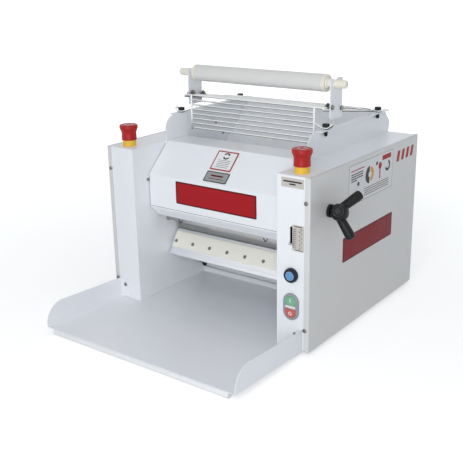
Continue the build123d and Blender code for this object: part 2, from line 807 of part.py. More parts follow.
def belt_loop(inset):
    big = Pos(jack_c[0], jack_c[1]) * Circle(pulley_big_r - inset)
    small = Pos(motor_c[0], motor_c[1]) * Circle(pulley_small_r - inset)
    return make_hull(big.edges() + small.edges())


belt_middle = pulley_x + pulley_w / 2
parts["v_belt"] = slab_x(
    belt_loop(belt_below_rim) - belt_loop(belt_below_rim + belt_t),
    -belt_middle - belt_w / 2,
    -belt_middle + belt_w / 2,
)

motor_left = -wall + motor_from_wall
motor_right = motor_left + motor_l
motor = rod_x(motor_c, motor_r - 5, motor_left + 20, motor_right - 20)
fins = 16
fin_face = Pos(motor_r - 4, 0) * Rectangle(8, 2.4)
for fin in range(fins):
    fin_place = Pos(motor_c[0], motor_c[1]) * Rot(0, 0, 360 / fins * fin)
    motor += slab_x(fin_place * fin_face, motor_left + 20, motor_right - 20)
end_bell = extrude(Circle(motor_r), amount=20)
end_bell = chamfer(end_bell.edges().sort_by(Axis.Z)[-1], 8)
motor += Pos(motor_right - 20, motor_c[0], motor_c[1]) * Rot(0, 90, 0) * end_bell
motor += Pos(motor_left + 20, motor_c[0], motor_c[1]) * Rot(0, -90, 0) * end_bell
base_top = base + 5 + base_t / 2
motor_foot_half = 62.0
motor_waist_half = 38.0
motor_foot_w = 24.0
foot_sketch = polygon(
    [
        (motor_y - motor_foot_half, base_top),
        (motor_y + motor_foot_half, base_top),
        (motor_y + motor_foot_half, base_top + 7),
        (motor_y + motor_waist_half, motor_z - 0.7 * motor_r),
        (motor_y - motor_waist_half, motor_z - 0.7 * motor_r),
        (motor_y - motor_foot_half, base_top + 7),
    ]
)
for foot_x in (motor_left + 38, motor_right - 38 - motor_foot_w):
    motor += slab_x(foot_sketch, foot_x, foot_x + motor_foot_w)
terminal_l = 70.0
terminal_half_w = 32.0
terminal = block(
    motor_left + 55,
    motor_left + 55 + terminal_l,
    motor_y - terminal_half_w,
    motor_y + terminal_half_w,
    motor_z + motor_r - 12,
    motor_z + motor_r + 24,
)
motor += fillet(terminal.edges().filter_by(Axis.Z), 4)
motor -= rod_x(motor_c, motor_shaft_r + running, motor_left - 1, motor_left + motor_shaft_depth)
parts["motor"] = motor
shaft_end_x = motor_left + motor_shaft_depth - 0.5
parts["motor_shaft"] = rod_x(motor_c, motor_shaft_r, -pulley_x - pulley_w - 0.5, shaft_end_x)

# ---------------------------------------------------- outlet: exit apron with its scraper, upper scraper
slope = radians(apron_slope)
down = (-cos(slope), -sin(slope))
out = (-sin(slope), cos(slope))


def on_apron(along, lift):
    return (apron_top_y + down[0] * along + out[0] * lift, apron_top_z + down[1] * along + out[1] * lift)


apron_face = polygon(
    [
        on_apron(-1, -scraper_t),
        on_apron(apron_length, -scraper_t),
        on_apron(apron_length, -scraper_t - apron_hem),
        on_apron(apron_length - apron_t, -scraper_t - apron_hem),
        on_apron(apron_length - apron_t, -scraper_t - apron_t),
        on_apron(-1, -scraper_t - apron_t),
    ]
)
apron = slab_x(apron_face, -apron_half_w, apron_half_w)
ear_t = 2.0
ear = slab_x(
    polygon(
        [
            on_apron(apron_length - 42, -scraper_t - apron_t + 0.5),
            on_apron(apron_length - 8, -scraper_t - apron_t + 0.5),
            (apron_pivot_y + 3, apron_pivot_z - 9),
            (apron_pivot_y + 9, apron_pivot_z),
            (apron_pivot_y + 3, apron_pivot_z + 9),
        ]
    ),
    apron_half_w - ear_t,
    apron_half_w,
)
ear += rod_x((apron_pivot_y, apron_pivot_z), apron_pin_r, apron_half_w - 1, plate_out - 1)
ear += rod_x((apron_pivot_y, apron_pivot_z), apron_pin_r + 3, apron_half_w, wall - 1)
apron += ear
apron += other_side(ear)
apron -= rod_x(lower_c, roll_r + clear, -wall, wall)
parts["exit_apron"] = apron

scraper_face = polygon(
    [
        on_apron(scraper_start + 3, 0),
        on_apron(scraper_start + scraper_width, 0),
        on_apron(scraper_start + scraper_width, -scraper_t),
        on_apron(scraper_start, -scraper_t),
        on_apron(scraper_start, -0.8),
    ]
)
parts["scraper_sheet"] = slab_x(scraper_face, -scraper_half_w, scraper_half_w)
screws = []
for number in range(scraper_screws):
    x = (number - (scraper_screws - 1) / 2) * scraper_screw_pitch
    spot = on_apron(scraper_screw_at, 0)
    screws.append(screw_head((x, spot[0], spot[1]), (0, out[0], out[1]), 3.6, 1.6))
parts["scraper_screws"] = group(screws)

blade_edge = (upper_c[0] - 20.6, upper_c[1] - 43.9)
blade_t = 1.5
blade_path = [
    (blade_edge[0], blade_edge[1] + 12.5),
    blade_edge,
    (blade_edge[0] + 17, blade_edge[1] + 6.2),
]
blade = slab_x(folded(blade_path, blade_t, 1.2), -roll_length / 2 - 1.5, roll_length / 2 + 1.5)
end_in = wall - bearing_inset - 3
pad_c = (upper_c[0] - 19 * line[1], upper_c[1] + 19 * line[0])
pad = Pos(pad_c[0], pad_c[1]) * Circle(6)
heel = Pos(blade_edge[0] + 2, blade_edge[1] + 6) * Circle(8)
end_plate = slab_x(make_hull(pad.edges() + heel.edges()), end_in, wall - bearing_inset)
blade -= rod_x(upper_c, roll_r + clear, -wall, wall)
blade += end_plate
blade += other_side(end_plate)
parts["upper_scraper"] = blade

hooks = []
hook_r = 0.8
hook_lean = 6.0
hook_h = 8.0
for hook_x in (43.0 - wall, wall - 105.0):
    foot_point = (hook_x, blade_edge[0] - blade_t / 2 - hook_r, blade_edge[1] - 1.5)
    hook = rod_x((foot_point[1], foot_point[2]), hook_r, hook_x - 1.5, hook_x + 1.5)
    for lean in (-1, 1):
        top_point = (hook_x + lean * hook_lean, foot_point[1], foot_point[2] + hook_h)
        hook += between(foot_point, top_point, hook_r)
    hooks.append(hook)
parts["scraper_hooks"] = group(hooks)

# ---------------------------------------------------- outlet tray
floor_front = polygon(
    [
        (0, tray_bottom),
        (-tray_length, tray_bottom + tray_lift),
        (-tray_length, tray_bottom + tray_lift + tray_sheet),
        (0, tray_bottom + tray_sheet),
    ]
)
tray = slab_x(floor_front, -tray_half_w, tray_half_w)
mid = tray_bottom + tray_sheet / 2
lip_y = tray_depth_inside - tray_sheet / 2
back_path = [(-1, mid), (lip_y, mid), (lip_y, mid + tray_lip)]
tray += slab_x(folded(back_path, tray_sheet), -wall + 0.6, wall - 0.6)
flange_rise = (tray_flange_front - tray_flange_back + tray_lift) / tray_length
flange_face = polygon(
    [
        (0, tray_bottom),
        (-tray_length, tray_bottom + tray_lift),
        (-tray_length, tray_bottom + tray_lift + tray_flange_front),
        (0, tray_bottom + tray_flange_back),
    ]
)
flange_tip = Vector(-tray_length, tray_bottom + tray_lift + tray_flange_front)
flange_corner = flange_face.vertices().sort_by_distance(flange_tip)[0]
flange_face = fillet(flange_corner, tray_corner_r)
tray_side = slab_x(flange_face, tray_half_w - tray_sheet, tray_half_w)
tab = slab_y(
    Pos(tray_half_w - tray_tab_w / 2, tray_bottom + 6 + tray_flange_back / 2 - 3)
    * RectangleRounded(tray_tab_w, tray_flange_back - 6, tray_tab_r),
    -tray_sheet,
    0,
)
tab += block(tray_half_w - 10, tray_half_w, -tray_sheet, 0, tray_bottom, tray_bottom + tray_flange_back - 0.2)
tray_side += tab
tray += tray_side
tray += other_side(tray_side)
parts["outlet_tray"] = tray
foot_bar = rod_x((bar_y, bar_r), bar_r, -bar_half_l, bar_half_l)
parts["tray_foot_bar"] = chamfer(foot_bar.edges(), 1)

# ---------------------------------------------------- small screw heads
cover_screw_x = outer - 9.0
hood_screw_drop = 81.0
cover_screw_inset = 50.0
heads = []
for side in (-1, 1):
    for height in (base + cover_screw_inset, top - cover_screw_inset - 2.5):
        heads.append(screw_head((side * cover_screw_x, -sheet, height), (0, -1, 0)))
    heads.append(screw_head((side * (tray_half_w - tray_tab_w / 2 - 1), -tray_sheet, base + 36), (0, -1, 0)))
    heads.append(screw_head((side * wall, hood_y - 5.5, top - hood_screw_drop), (-side, 0, 0), 3.6, 4))
    for spot in ((313, top + 13), (343, top - 19), (454, top - 16)):
        heads.append(screw_head((side * (wall - sheet), spot[0], spot[1]), (-side, 0, 0), 3.4))
parts["screw_heads"] = group(heads)

# ---------------------------------------------------- wire guard, knobs, rolling pin rests
guard_heights = [guard_bottom + guard_pitch * number for number in range(guard_wires)]
guard_top = guard_heights[-1]
guard_rod_start_z = guard_top - 3
rod_place_x = wall - sheet - clear - guard_rod_r
riser_y = guard_front_y - 2 * wire_r + 0.4


def rod_height(y):
    """Height of the middle of the guard's sloping side rods at y."""
    return guard_rod_start_z - guard_rod_drop * (y - guard_front_y)


def eye(y, x_in, x_out):
    """A long flat eye of wire round a knob's stud."""
    middle = Pos((x_in + x_out) / 2, y)
    length = x_out - x_in
    face = middle * SlotOverall(length, guard_eye_w)
    face -= middle * SlotOverall(length - 4 * wire_r, guard_eye_w - 4 * wire_r)
    return slab_z(face, eye_z - wire_r, eye_z + wire_r)


wires = [rod_x((guard_front_y, height), wire_r, -guard_half_w, guard_half_w) for height in guard_heights[:-1]]
wires.append(rod_x((guard_front_y, guard_top), wire_r, -rod_place_x - 1, rod_place_x + 1))
for cross_y in guard_cross_places:
    cross_z = rod_height(cross_y) + guard_rod_r + wire_r - 0.5
    wires.append(rod_x((cross_y, cross_z), wire_r, -rod_place_x - 2, rod_place_x + 2))
guard = wires[0]
for wire in wires[1:]:
    guard += wire
rod_start = (rod_place_x, guard_front_y - 1, rod_height(guard_front_y - 1))
rod_end = (rod_place_x, knob_back_y + 2, rod_height(knob_back_y + 2))
guard_side = between(rod_start, rod_end, guard_rod_r)
guard_side += rod_z(guard_half_w, riser_y, riser_r, guard_bottom - 1, guard_top + 1)
arm_start = (guard_half_w + 0.5, riser_y + 0.3, eye_z + 7.5)
guard_side += between(arm_start, (guard_eye_in + 1.6, knob_front_y, eye_z + 0.3), wire_r - 0.3)
guard_side += eye(knob_front_y, guard_eye_in, guard_eye_out)
guard_side += eye(knob_back_y, rod_place_x + 0.3, guard_back_eye_out)
guard += guard_side
guard += other_side(guard_side)
parts["wire_guard"] = guard

knob_head = rod_z(0, 0, knob_r, knob_seat, knob_seat + knob_h)
knob_head = chamfer(knob_head.edges().group_by(Axis.Z)[-1], 1.5)
nut_top = flange_top - sheet - nut_drop
knob = knob_head + rod_z(0, 0, stud_r, nut_top - nut_h - 2, knob_seat + 1)
knob += rod_z(0, 0, nut_r, nut_top - nut_h, nut_top)
for side_name, side in (("left", -1), ("right", 1)):
    for end_name, knob_y in (("front", knob_front_y), ("rear", knob_back_y)):
        parts["guard_knob_" + end_name + "_" + side_name] = Pos(side * knob_x, knob_y, 0) * knob

rest_bottom = flange_top + rest_above_flange
rest_top = pin_z + rest_horn
rest_x = wall
rest_place = Pos(rest_y + rest_w / 2, (rest_bottom + rest_top) / 2)
rest_sketch = rest_place * RectangleRounded(rest_w, rest_top - rest_bottom, 4)
rest_notch = Pos(pin_y, pin_z) * Circle(pin_handle_r + 0.4)
rest_notch += Pos(pin_y, pin_z + 20) * Rectangle(2 * pin_handle_r + 0.8, 40)
bolt_places = [
    (rest_y + rest_bolt_inset, rod_height(rest_y + rest_bolt_inset)),
    (rest_y + rest_w - rest_bolt_inset, rod_height(rest_y + rest_w - rest_bolt_inset)),
]


def rest_plate(side):
    sketch = rest_sketch - rest_notch
    for place in bolt_places:
        sketch -= Pos(place[0], place[1] + guard_rod_r + rest_bolt_r + clear) * Circle(rest_bolt_r + seat)
    notch_corners = sketch.vertices().sort_by_distance(Vector(pin_y, rest_top))[:2]
    face = fillet(notch_corners, 1.5)
    plate = slab_x(face, wall - sheet, wall - sheet + rest_t)
    return plate if side > 0 else other_side(plate)


parts["pin_rests"] = group([rest_plate(-1), rest_plate(1)])

bolts = []
for side in (-1, 1):
    for place in bolt_places:
        centre = (place[0], place[1] + guard_rod_r + rest_bolt_r + clear)
        plate_face_x = wall - sheet + rest_t
        washer_x = rod_place_x - guard_rod_r - clear
        bolt = rod_x(centre, rest_bolt_r, washer_x - 8, plate_face_x)
        bolt += slab_x(Pos(*centre) * RegularPolygon(5.5, 6), plate_face_x, plate_face_x + 4)
        bolt += rod_x(centre, rest_washer_r, washer_x - 1.6, washer_x)
        bolt += slab_x(Pos(*centre) * RegularPolygon(5.5, 6), washer_x - 6.6, washer_x - 1.6)
        bolts.append(bolt if side > 0 else other_side(bolt))
parts["pin_rest_bolts"] = group(bolts)

# ---------------------------------------------------- rolling pin
pin_c = (pin_y, pin_z)
plug_in = pin_tube_l / 2 + clear
plug_out = plug_in + pin_plug_l
step_out = plug_out + pin_step_l
handle_end = pin_total_l / 2
handle_nose = [(handle_end - 6 + height, r) for r, height in dome(pin_handle_r, 6)]
pin_section = [
    (0, 0),
    (0, pin_spindle_r),
    (plug_in, pin_spindle_r),
    (plug_in, pin_tube_r),
    (plug_out - 1.5, pin_tube_r),
    (plug_out, pin_tube_r - 1.5),
    (plug_out, pin_step_r),
    (step_out, pin_step_r),
    (step_out, pin_handle_r),
    *handle_nose,
]
half_axle = revolve(polygon(pin_section), Axis.X)
axle = half_axle + mirror(half_axle, about=Plane.YZ)
parts["rolling_pin_axle"] = Pos(pin_shift, pin_y, pin_z) * axle
tube_half = pin_tube_l / 2
tube = rod_x(pin_c, pin_tube_r, pin_shift - tube_half, pin_shift + tube_half)
tube = chamfer(tube.edges(), 1)
tube -= rod_x(pin_c, pin_spindle_r + running, pin_shift - tube_half - 1, pin_shift + tube_half + 1)
parts["rolling_pin_tube"] = tube

# ---------------------------------------------------- emergency stops and push buttons
collar = rod_z(0, 0, estop_collar_r, top, top + estop_collar_h)
collar = chamfer(collar.edges().group_by(Axis.Z)[-1], 1)
collar += rod_z(0, 0, estop_stem_r + 2, top - sheet - 8, top)
collar += rod_z(0, 0, 15, top - sheet - 7, top - sheet)
collar -= rod_z(0, 0, estop_stem_r + running, top - sheet - 9, top + estop_collar_h + 1)
parts["estop_collars"] = group([Pos(side * estop_x, estop_y, 0) * collar for side in (-1, 1)])

# The head's skirt reaches round the collar, so it can go down by its travel.
head_floor = top + estop_collar_h + estop_travel + 1
head_low = head_floor - estop_skirt
head_top = top + estop_h
head_profile = [
    (0, head_floor),
    (estop_collar_r + clear, head_floor),
    (estop_collar_r + clear, head_low),
    (estop_waist_r + 0.6, head_low),
    (estop_waist_r, head_low + 8),
    (estop_waist_r + 0.5, head_low + 17),
    (estop_head_r - 1.2, head_low + 24),
    (estop_head_r, head_low + 28),
    (estop_head_r - 0.4, head_top - 2.5),
    (estop_head_r - 3, head_top - 0.6),
    (0, head_top),
]
head = revolve(Plane.XZ * polygon(head_profile), Axis.Z)
head += rod_z(0, 0, estop_stem_r, top - sheet - 14, head_floor + 1)
parts["estop_head_left"] = Pos(-estop_x, estop_y, 0) * head
parts["estop_head_right"] = Pos(estop_x, estop_y, 0) * head

panel_back = sheet
ring = rod_y(button_x, reset_z, reset_ring_r, -reset_ring_l, 0)
ring = chamfer(ring.edges().group_by(Axis.Y)[0], 1.2)
ring += rod_y(button_x, reset_z, reset_cap_r - 1 - seat, -1, panel_back + 12)
ring -= rod_y(button_x, reset_z, button_stem_r + running, -reset_ring_l, panel_back + 13)
ring -= rod_y(button_x, reset_z, reset_cap_r + clear, -reset_ring_l - 1, -button_recess)
parts["reset_button_ring"] = ring
cap_back = -button_recess - button_travel - clear
cap = rod_y(button_x, reset_z, reset_cap_r, -reset_ring_l + 0.5, cap_back)
cap = chamfer(cap.edges().group_by(Axis.Y)[0], 0.8)
parts["reset_button"] = cap + rod_y(button_x, reset_z, button_stem_r, cap_back - 1, panel_back + 14)

bezel = slab_y(Pos(button_x, duo_z) * SlotOverall(duo_h, duo_w, rotation=90), -duo_depth, 0)
bezel = chamfer(bezel.edges().group_by(Axis.Y)[0], 0.8)
duo_body = Pos(button_x, duo_z) * Rectangle(duo_hole_w - 2 * seat, duo_hole_h - 2 * seat)
bezel += slab_y(duo_body, -1, panel_back + 10)
key_inset = duo_border + clear
key_h = duo_h / 2 - duo_border - duo_divider / 2
keys = {}
for name, side in (("start_key", 1), ("stop_key", -1)):
    key_z = duo_z + side * (duo_divider + key_h) / 2
    window = Pos(button_x, key_z) * Rectangle(duo_w, key_h)
    recess = Pos(button_x, duo_z) * SlotOverall(duo_h - 2 * duo_border, duo_w - 2 * duo_border, rotation=90)
    bezel -= slab_y(recess & window, -duo_depth - 1, -button_recess)
    bezel -= rod_y(button_x, key_z, button_stem_r + running, -duo_depth - 1, panel_back + 11)
    inner_window = Pos(button_x, key_z) * Rectangle(duo_w, key_h - 2 * clear)
    key_face = Pos(button_x, duo_z) * SlotOverall(duo_h - 2 * key_inset, duo_w - 2 * key_inset, rotation=90)
    key = slab_y(key_face & inner_window, -duo_depth - 1.2, cap_back)
    key = chamfer(key.edges().group_by(Axis.Y)[0], 0.6)
    keys[name] = key + rod_y(button_x, key_z, button_stem_r, cap_back - 1, panel_back + 12)
parts["control_bezel"] = bezel
parts["start_key"] = keys["start_key"]
parts["stop_key"] = keys["stop_key"]

switch_gap = 4.0
blocks = []
for side in (-1, 1):
    frame = block(-18, 18, -16, 16, top - sheet - 7 - 32, top - sheet - 7)
    frame -= rod_z(0, 0, 11.5, top - sheet - 7 - 13 - switch_gap, top)
    blocks.append(Pos(side * estop_x, estop_y, 0) * frame)
rear_y = panel_back + 10
body = block(button_x - 15, button_x + 15, rear_y, rear_y + 34, duo_z - duo_h / 2 + 2, duo_z + duo_h / 2 - 2)
for side in (-1, 1):
    key_z = duo_z + side * (duo_divider + key_h) / 2
    body -= rod_y(button_x, key_z, button_stem_r + 1, rear_y - 1, rear_y + 2 + button_travel + 1)
blocks.append(body)
rear_y = panel_back + 12
body = block(button_x - 14, button_x + 14, rear_y, rear_y + 30, reset_z - 14, reset_z + 14)
body -= rod_y(button_x, reset_z, button_stem_r + 1, rear_y - 1, rear_y + 2 + button_travel + 1)
blocks.append(body)
parts["switch_blocks"] = group(blocks)

scale_face = Pos(scale_x + scale_w / 2, scale_z) * RectangleRounded(scale_w, scale_h, 2)
scale_face -= slot_place * SlotOverall(slot_height + 2, slot_w + 2, rotation=90)
parts["gap_scale_plate"] = slab_y(scale_face, -0.8, 0)

# ---------------------------------------------------- one frame for all, and the STEP files
boxes = [shape.bounding_box() for shape in parts.values()]
middle_x = (min(box.min.X for box in boxes) + max(box.max.X for box in boxes)) / 2
middle_y = (min(box.min.Y for box in boxes) + max(box.max.Y for box in boxes)) / 2
lowest_z = min(box.min.Z for box in boxes)
shift = Pos(-middle_x, -middle_y, -lowest_z)
for name, shape in parts.items():
    export_step(shift * shape, "parts/" + name + ".step")
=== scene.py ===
import bpy
import bmesh
import json
from math import cos, pi, radians, sin, tan, tau
from mathutils import Matrix, Vector


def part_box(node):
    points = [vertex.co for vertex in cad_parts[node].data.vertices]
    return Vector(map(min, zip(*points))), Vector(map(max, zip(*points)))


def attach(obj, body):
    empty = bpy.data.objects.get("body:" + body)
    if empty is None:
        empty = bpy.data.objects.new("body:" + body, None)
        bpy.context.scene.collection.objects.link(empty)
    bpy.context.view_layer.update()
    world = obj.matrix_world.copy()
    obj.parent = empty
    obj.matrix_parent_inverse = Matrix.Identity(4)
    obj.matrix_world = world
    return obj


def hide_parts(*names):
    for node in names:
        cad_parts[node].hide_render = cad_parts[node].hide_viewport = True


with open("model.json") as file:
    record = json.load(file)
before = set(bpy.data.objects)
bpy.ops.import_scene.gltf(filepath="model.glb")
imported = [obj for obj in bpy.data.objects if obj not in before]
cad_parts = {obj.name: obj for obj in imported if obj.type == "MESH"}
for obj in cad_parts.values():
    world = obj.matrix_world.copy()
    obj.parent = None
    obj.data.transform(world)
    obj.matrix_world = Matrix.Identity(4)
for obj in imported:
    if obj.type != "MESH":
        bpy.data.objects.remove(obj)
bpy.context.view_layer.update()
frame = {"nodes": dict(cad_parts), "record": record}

nodes = frame["nodes"]

# ------------------------------------------------------------------ places
# The machine's own drawing axes: millimetres, X = 0 between the housings, Y = 0 at their front faces and
# Z = 0 on the counter. at() turns such a place into the frame's metres.
left_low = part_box("housing_left")[0]
right_low, right_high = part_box("housing_right")
ORIGIN = Vector(((left_low.x + right_high.x) / 2, right_low.y, 0))


def at(x, y, z):
    return ORIGIN + Vector((x, y, z)) / 1000


def drawn_box(node):
    """A node's lowest and highest corners in the drawing's millimetres."""
    low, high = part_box(node)
    return (low - ORIGIN) * 1000, (high - ORIGIN) * 1000


def node_middle(node):
    low, high = drawn_box(node)
    return (low + high) / 2


housing_low, housing_high = drawn_box("housing_right")
WALL = housing_low.x
TOP = housing_high.z
BACK = housing_high.y
BASE = housing_low.z
OUTER = drawn_box("side_cover_right")[1].x
HOOD_Y = drawn_box("front_hood")[0].y
SCREW_HEIGHTS = (BASE + 50, TOP - 52.5)  # the side covers' screws, front and back


def new_object(name, data):
    thing = bpy.data.objects.new(name, data)
    bpy.context.scene.collection.objects.link(thing)
    return thing


# ------------------------------------------------------------------ camera
CAMERA_PLACE = (1064.7, -1303.0, 792.9)
CAMERA_TURN = (37.01, 18.63, -1.09)  # azimuth, elevation and roll in degrees
SENSOR_WIDTH = 36
FOCAL_LENGTH = 61.94


def make_camera():
    azimuth, elevation, roll = [radians(angle) for angle in CAMERA_TURN]
    forward = Vector((-sin(azimuth) * cos(elevation), cos(azimuth) * cos(elevation), -sin(elevation)))
    right = Vector((cos(azimuth), sin(azimuth), 0))
    up = right.cross(forward)
    tilted_right = cos(roll) * right + sin(roll) * up
    tilted_up = -sin(roll) * right + cos(roll) * up
    data = bpy.data.cameras.new("camera")
    data.sensor_width = SENSOR_WIDTH
    data.lens = FOCAL_LENGTH
    camera = new_object("camera", data)
    turn = Matrix((tilted_right, tilted_up, -forward)).transposed()
    camera.matrix_world = Matrix.Translation(at(*CAMERA_PLACE)) @ turn.to_4x4()
    bpy.context.scene.camera = camera


make_camera()


# ------------------------------------------------------------------ material helpers
class Shader:
    """A node material with one Principled shader and a short way to add nodes."""

    def __init__(self, name, base, roughness, metallic=0.0, specular=0.5, coat=0.0, coat_roughness=0.05):
        self.material = bpy.data.materials.new(name)
        self.material.use_nodes = True
        self.tree = self.material.node_tree
        self.shader = self.tree.nodes["Principled BSDF"]
        self.base = base
        sockets = self.shader.inputs
        sockets["Base Color"].default_value = (*base, 1)
        sockets["Roughness"].default_value = roughness
        sockets["Metallic"].default_value = metallic
        sockets["Specular IOR Level"].default_value = specular
        sockets["Coat Weight"].default_value = coat
        sockets["Coat Roughness"].default_value = coat_roughness
        self.place = self.node("ShaderNodeTexCoord").outputs["Object"]
        self.height = None

    def node(self, kind, **values):
        made = self.tree.nodes.new(kind)
        for key, value in values.items():
            setattr(made, key, value)
        return made

    def link(self, output, target):
        self.tree.links.new(output, target)
        return self

    def stretched(self, scale):
        mapping = self.node("ShaderNodeMapping")
        mapping.inputs["Scale"].default_value = scale
        self.link(self.place, mapping.inputs["Vector"])
        return mapping.outputs["Vector"]

    def noise(self, scale, detail=3.0, rough=0.55, stretch=None):
        made = self.node("ShaderNodeTexNoise")
        made.inputs["Scale"].default_value = scale
        made.inputs["Detail"].default_value = detail
        made.inputs["Roughness"].default_value = rough
        self.link(self.stretched(stretch) if stretch else self.place, made.inputs["Vector"])
        return made.outputs["Fac"]

    def ramp(self, value, low, high, dark, light):
        made = self.node("ShaderNodeMapRange")
        made.inputs["From Min"].default_value = low
        made.inputs["From Max"].default_value = high
        made.inputs["To Min"].default_value = dark
        made.inputs["To Max"].default_value = light
        self.link(value, made.inputs["Value"])
        return made.outputs["Result"]

    def mix(self, fac, first, second):
        made = self.node("ShaderNodeMix", data_type="RGBA")
        self.link(fac, made.inputs["Factor"])
        for socket, value in ((made.inputs[6], first), (made.inputs[7], second)):
            if isinstance(value, tuple):
                socket.default_value = (*value, 1)
            else:
                self.link(value, socket)
        return made.outputs[2]

    def tint(self, fac, other):
        """Varies the colour between the base and another one."""
        self.link(self.mix(fac, self.base, other), self.shader.inputs["Base Color"])
        return self

    def gloss(self, fac, low, high):
        self.link(self.ramp(fac, 0.3, 0.7, low, high), self.shader.inputs["Roughness"])
        return self

    def soft_edges(self, radius):
        """Rounds the look of the sheet's cut edges, which the CAD leaves sharp."""
        made = self.node("ShaderNodeBevel", samples=4)
        made.inputs["Radius"].default_value = radius
        self.height = made.outputs["Normal"]
        self.link(self.height, self.shader.inputs["Normal"])
        return self

    def bump(self, fac, strength, distance):
        made = self.node("ShaderNodeBump")
        made.inputs["Strength"].default_value = strength
        made.inputs["Distance"].default_value = distance
        self.link(fac, made.inputs["Height"])
        if self.height is not None:
            self.link(self.height, made.inputs["Normal"])
        self.height = made.outputs["Normal"]
        self.link(self.height, self.shader.inputs["Normal"])
        return self


def shade(color, k):
    return tuple(min(1.0, c * k) for c in color)


def powder_coat(name, base, roughness=0.32, peel=0.02):
    """Baked powder paint: fine orange peel, very faint clouding, and a wiped, slightly uneven gloss."""
    s = Shader(name, base, roughness, specular=0.45, coat=0.12, coat_roughness=0.2)
    s.soft_edges(0.0006)
    s.tint(s.ramp(s.noise(7, 3, 0.5), 0.3, 0.7, 0, 1), shade(base, 0.98))
    s.gloss(s.noise(16, 3, 0.5), roughness - 0.03, roughness + 0.05)
    s.bump(s.noise(600, 2, 0.5), peel, 0.0003)
    return s.material


def turned_metal(name, base, roughness, lines, grain):
    """Machined metal whose fine tool lines run the way given by the stretch of the noise."""
    s = Shader(name, base, roughness, metallic=1.0)
    s.soft_edges(0.0004)
    line = s.noise(1, 3, 0.7, lines)
    s.tint(s.ramp(line, 0.35, 0.65, 0, 1), shade(base, 0.86))
    s.gloss(line, roughness - 0.06, roughness + 0.10)
    s.bump(line, grain, 0.0002)
    s.bump(s.noise(35, 4, 0.7), 0.05, 0.0008)
    return s.material


def zinc(name, base=(0.52, 0.52, 0.50), roughness=0.34):
    """Bright zinc plate with its spangled grey clouding."""
    s = Shader(name, base, roughness, metallic=1.0)
    s.tint(s.ramp(s.noise(120, 4, 0.65), 0.35, 0.68, 0, 1), shade(base, 0.7))
    s.gloss(s.noise(260, 3, 0.6), roughness - 0.08, roughness + 0.12)
    s.bump(s.noise(900, 2, 0.5), 0.12, 0.0002)
    return s.material


def moulded(name, base, roughness=0.28, texture=0.10, coat=0.0, specular=0.5, cloud=0.95):
    """Injection-moulded plastic with a fine spark-eroded grain and slight flow clouding."""
    s = Shader(name, base, roughness, specular=specular, coat=coat, coat_roughness=0.08)
    s.soft_edges(0.0004)
    s.tint(s.ramp(s.noise(60, 4, 0.6), 0.35, 0.7, 0, 1), shade(base, cloud))
    s.gloss(s.noise(150, 3, 0.6), roughness - 0.05, roughness + 0.08)
    s.bump(s.noise(1400, 2, 0.5), texture, 0.0002)
    return s.material


def cast(name, base):
    """Raw grey iron: sandy skin, blotchy oil film."""
    s = Shader(name, base, 0.62, metallic=0.7)
    s.tint(s.ramp(s.noise(70, 6, 0.7), 0.35, 0.65, 0, 1), shade(base, 0.6))
    s.gloss(s.noise(90, 4, 0.7), 0.45, 0.75)
    s.bump(s.noise(520, 4, 0.7), 0.55, 0.0006)
    return s.material


def printed(name, base, roughness=0.35):
    """A printed self-adhesive foil."""
    s = Shader(name, base, roughness, specular=0.12)
    s.tint(s.ramp(s.noise(14, 3, 0.6), 0.3, 0.7, 0, 1), shade(base, 0.95))
    s.gloss(s.noise(30, 2, 0.5), roughness - 0.04, roughness + 0.06)
    s.bump(s.noise(260, 2, 0.5), 0.02, 0.0002)
    return s.material


def coated_wire(name, base, painted_underside_shade):
    """Thin white coating on wire, with painted shade along the underside, darker where the surface faces
    down.
    """
    s = Shader(name, base, 0.30, coat=0.5, coat_roughness=0.2)
    surface = s.node("ShaderNodeNewGeometry")
    parts = s.node("ShaderNodeSeparateXYZ")
    s.link(surface.outputs["Normal"], parts.inputs[0])
    # painted shade: the colour turns to the dark tone where the surface normal points down
    s.tint(s.ramp(parts.outputs["Z"], -0.26, -0.04, 1, 0), painted_underside_shade)
    s.gloss(s.noise(260, 3, 0.6), 0.26, 0.38)
    s.bump(s.noise(900, 2, 0.5), 0.04, 0.0002)
    return s.material


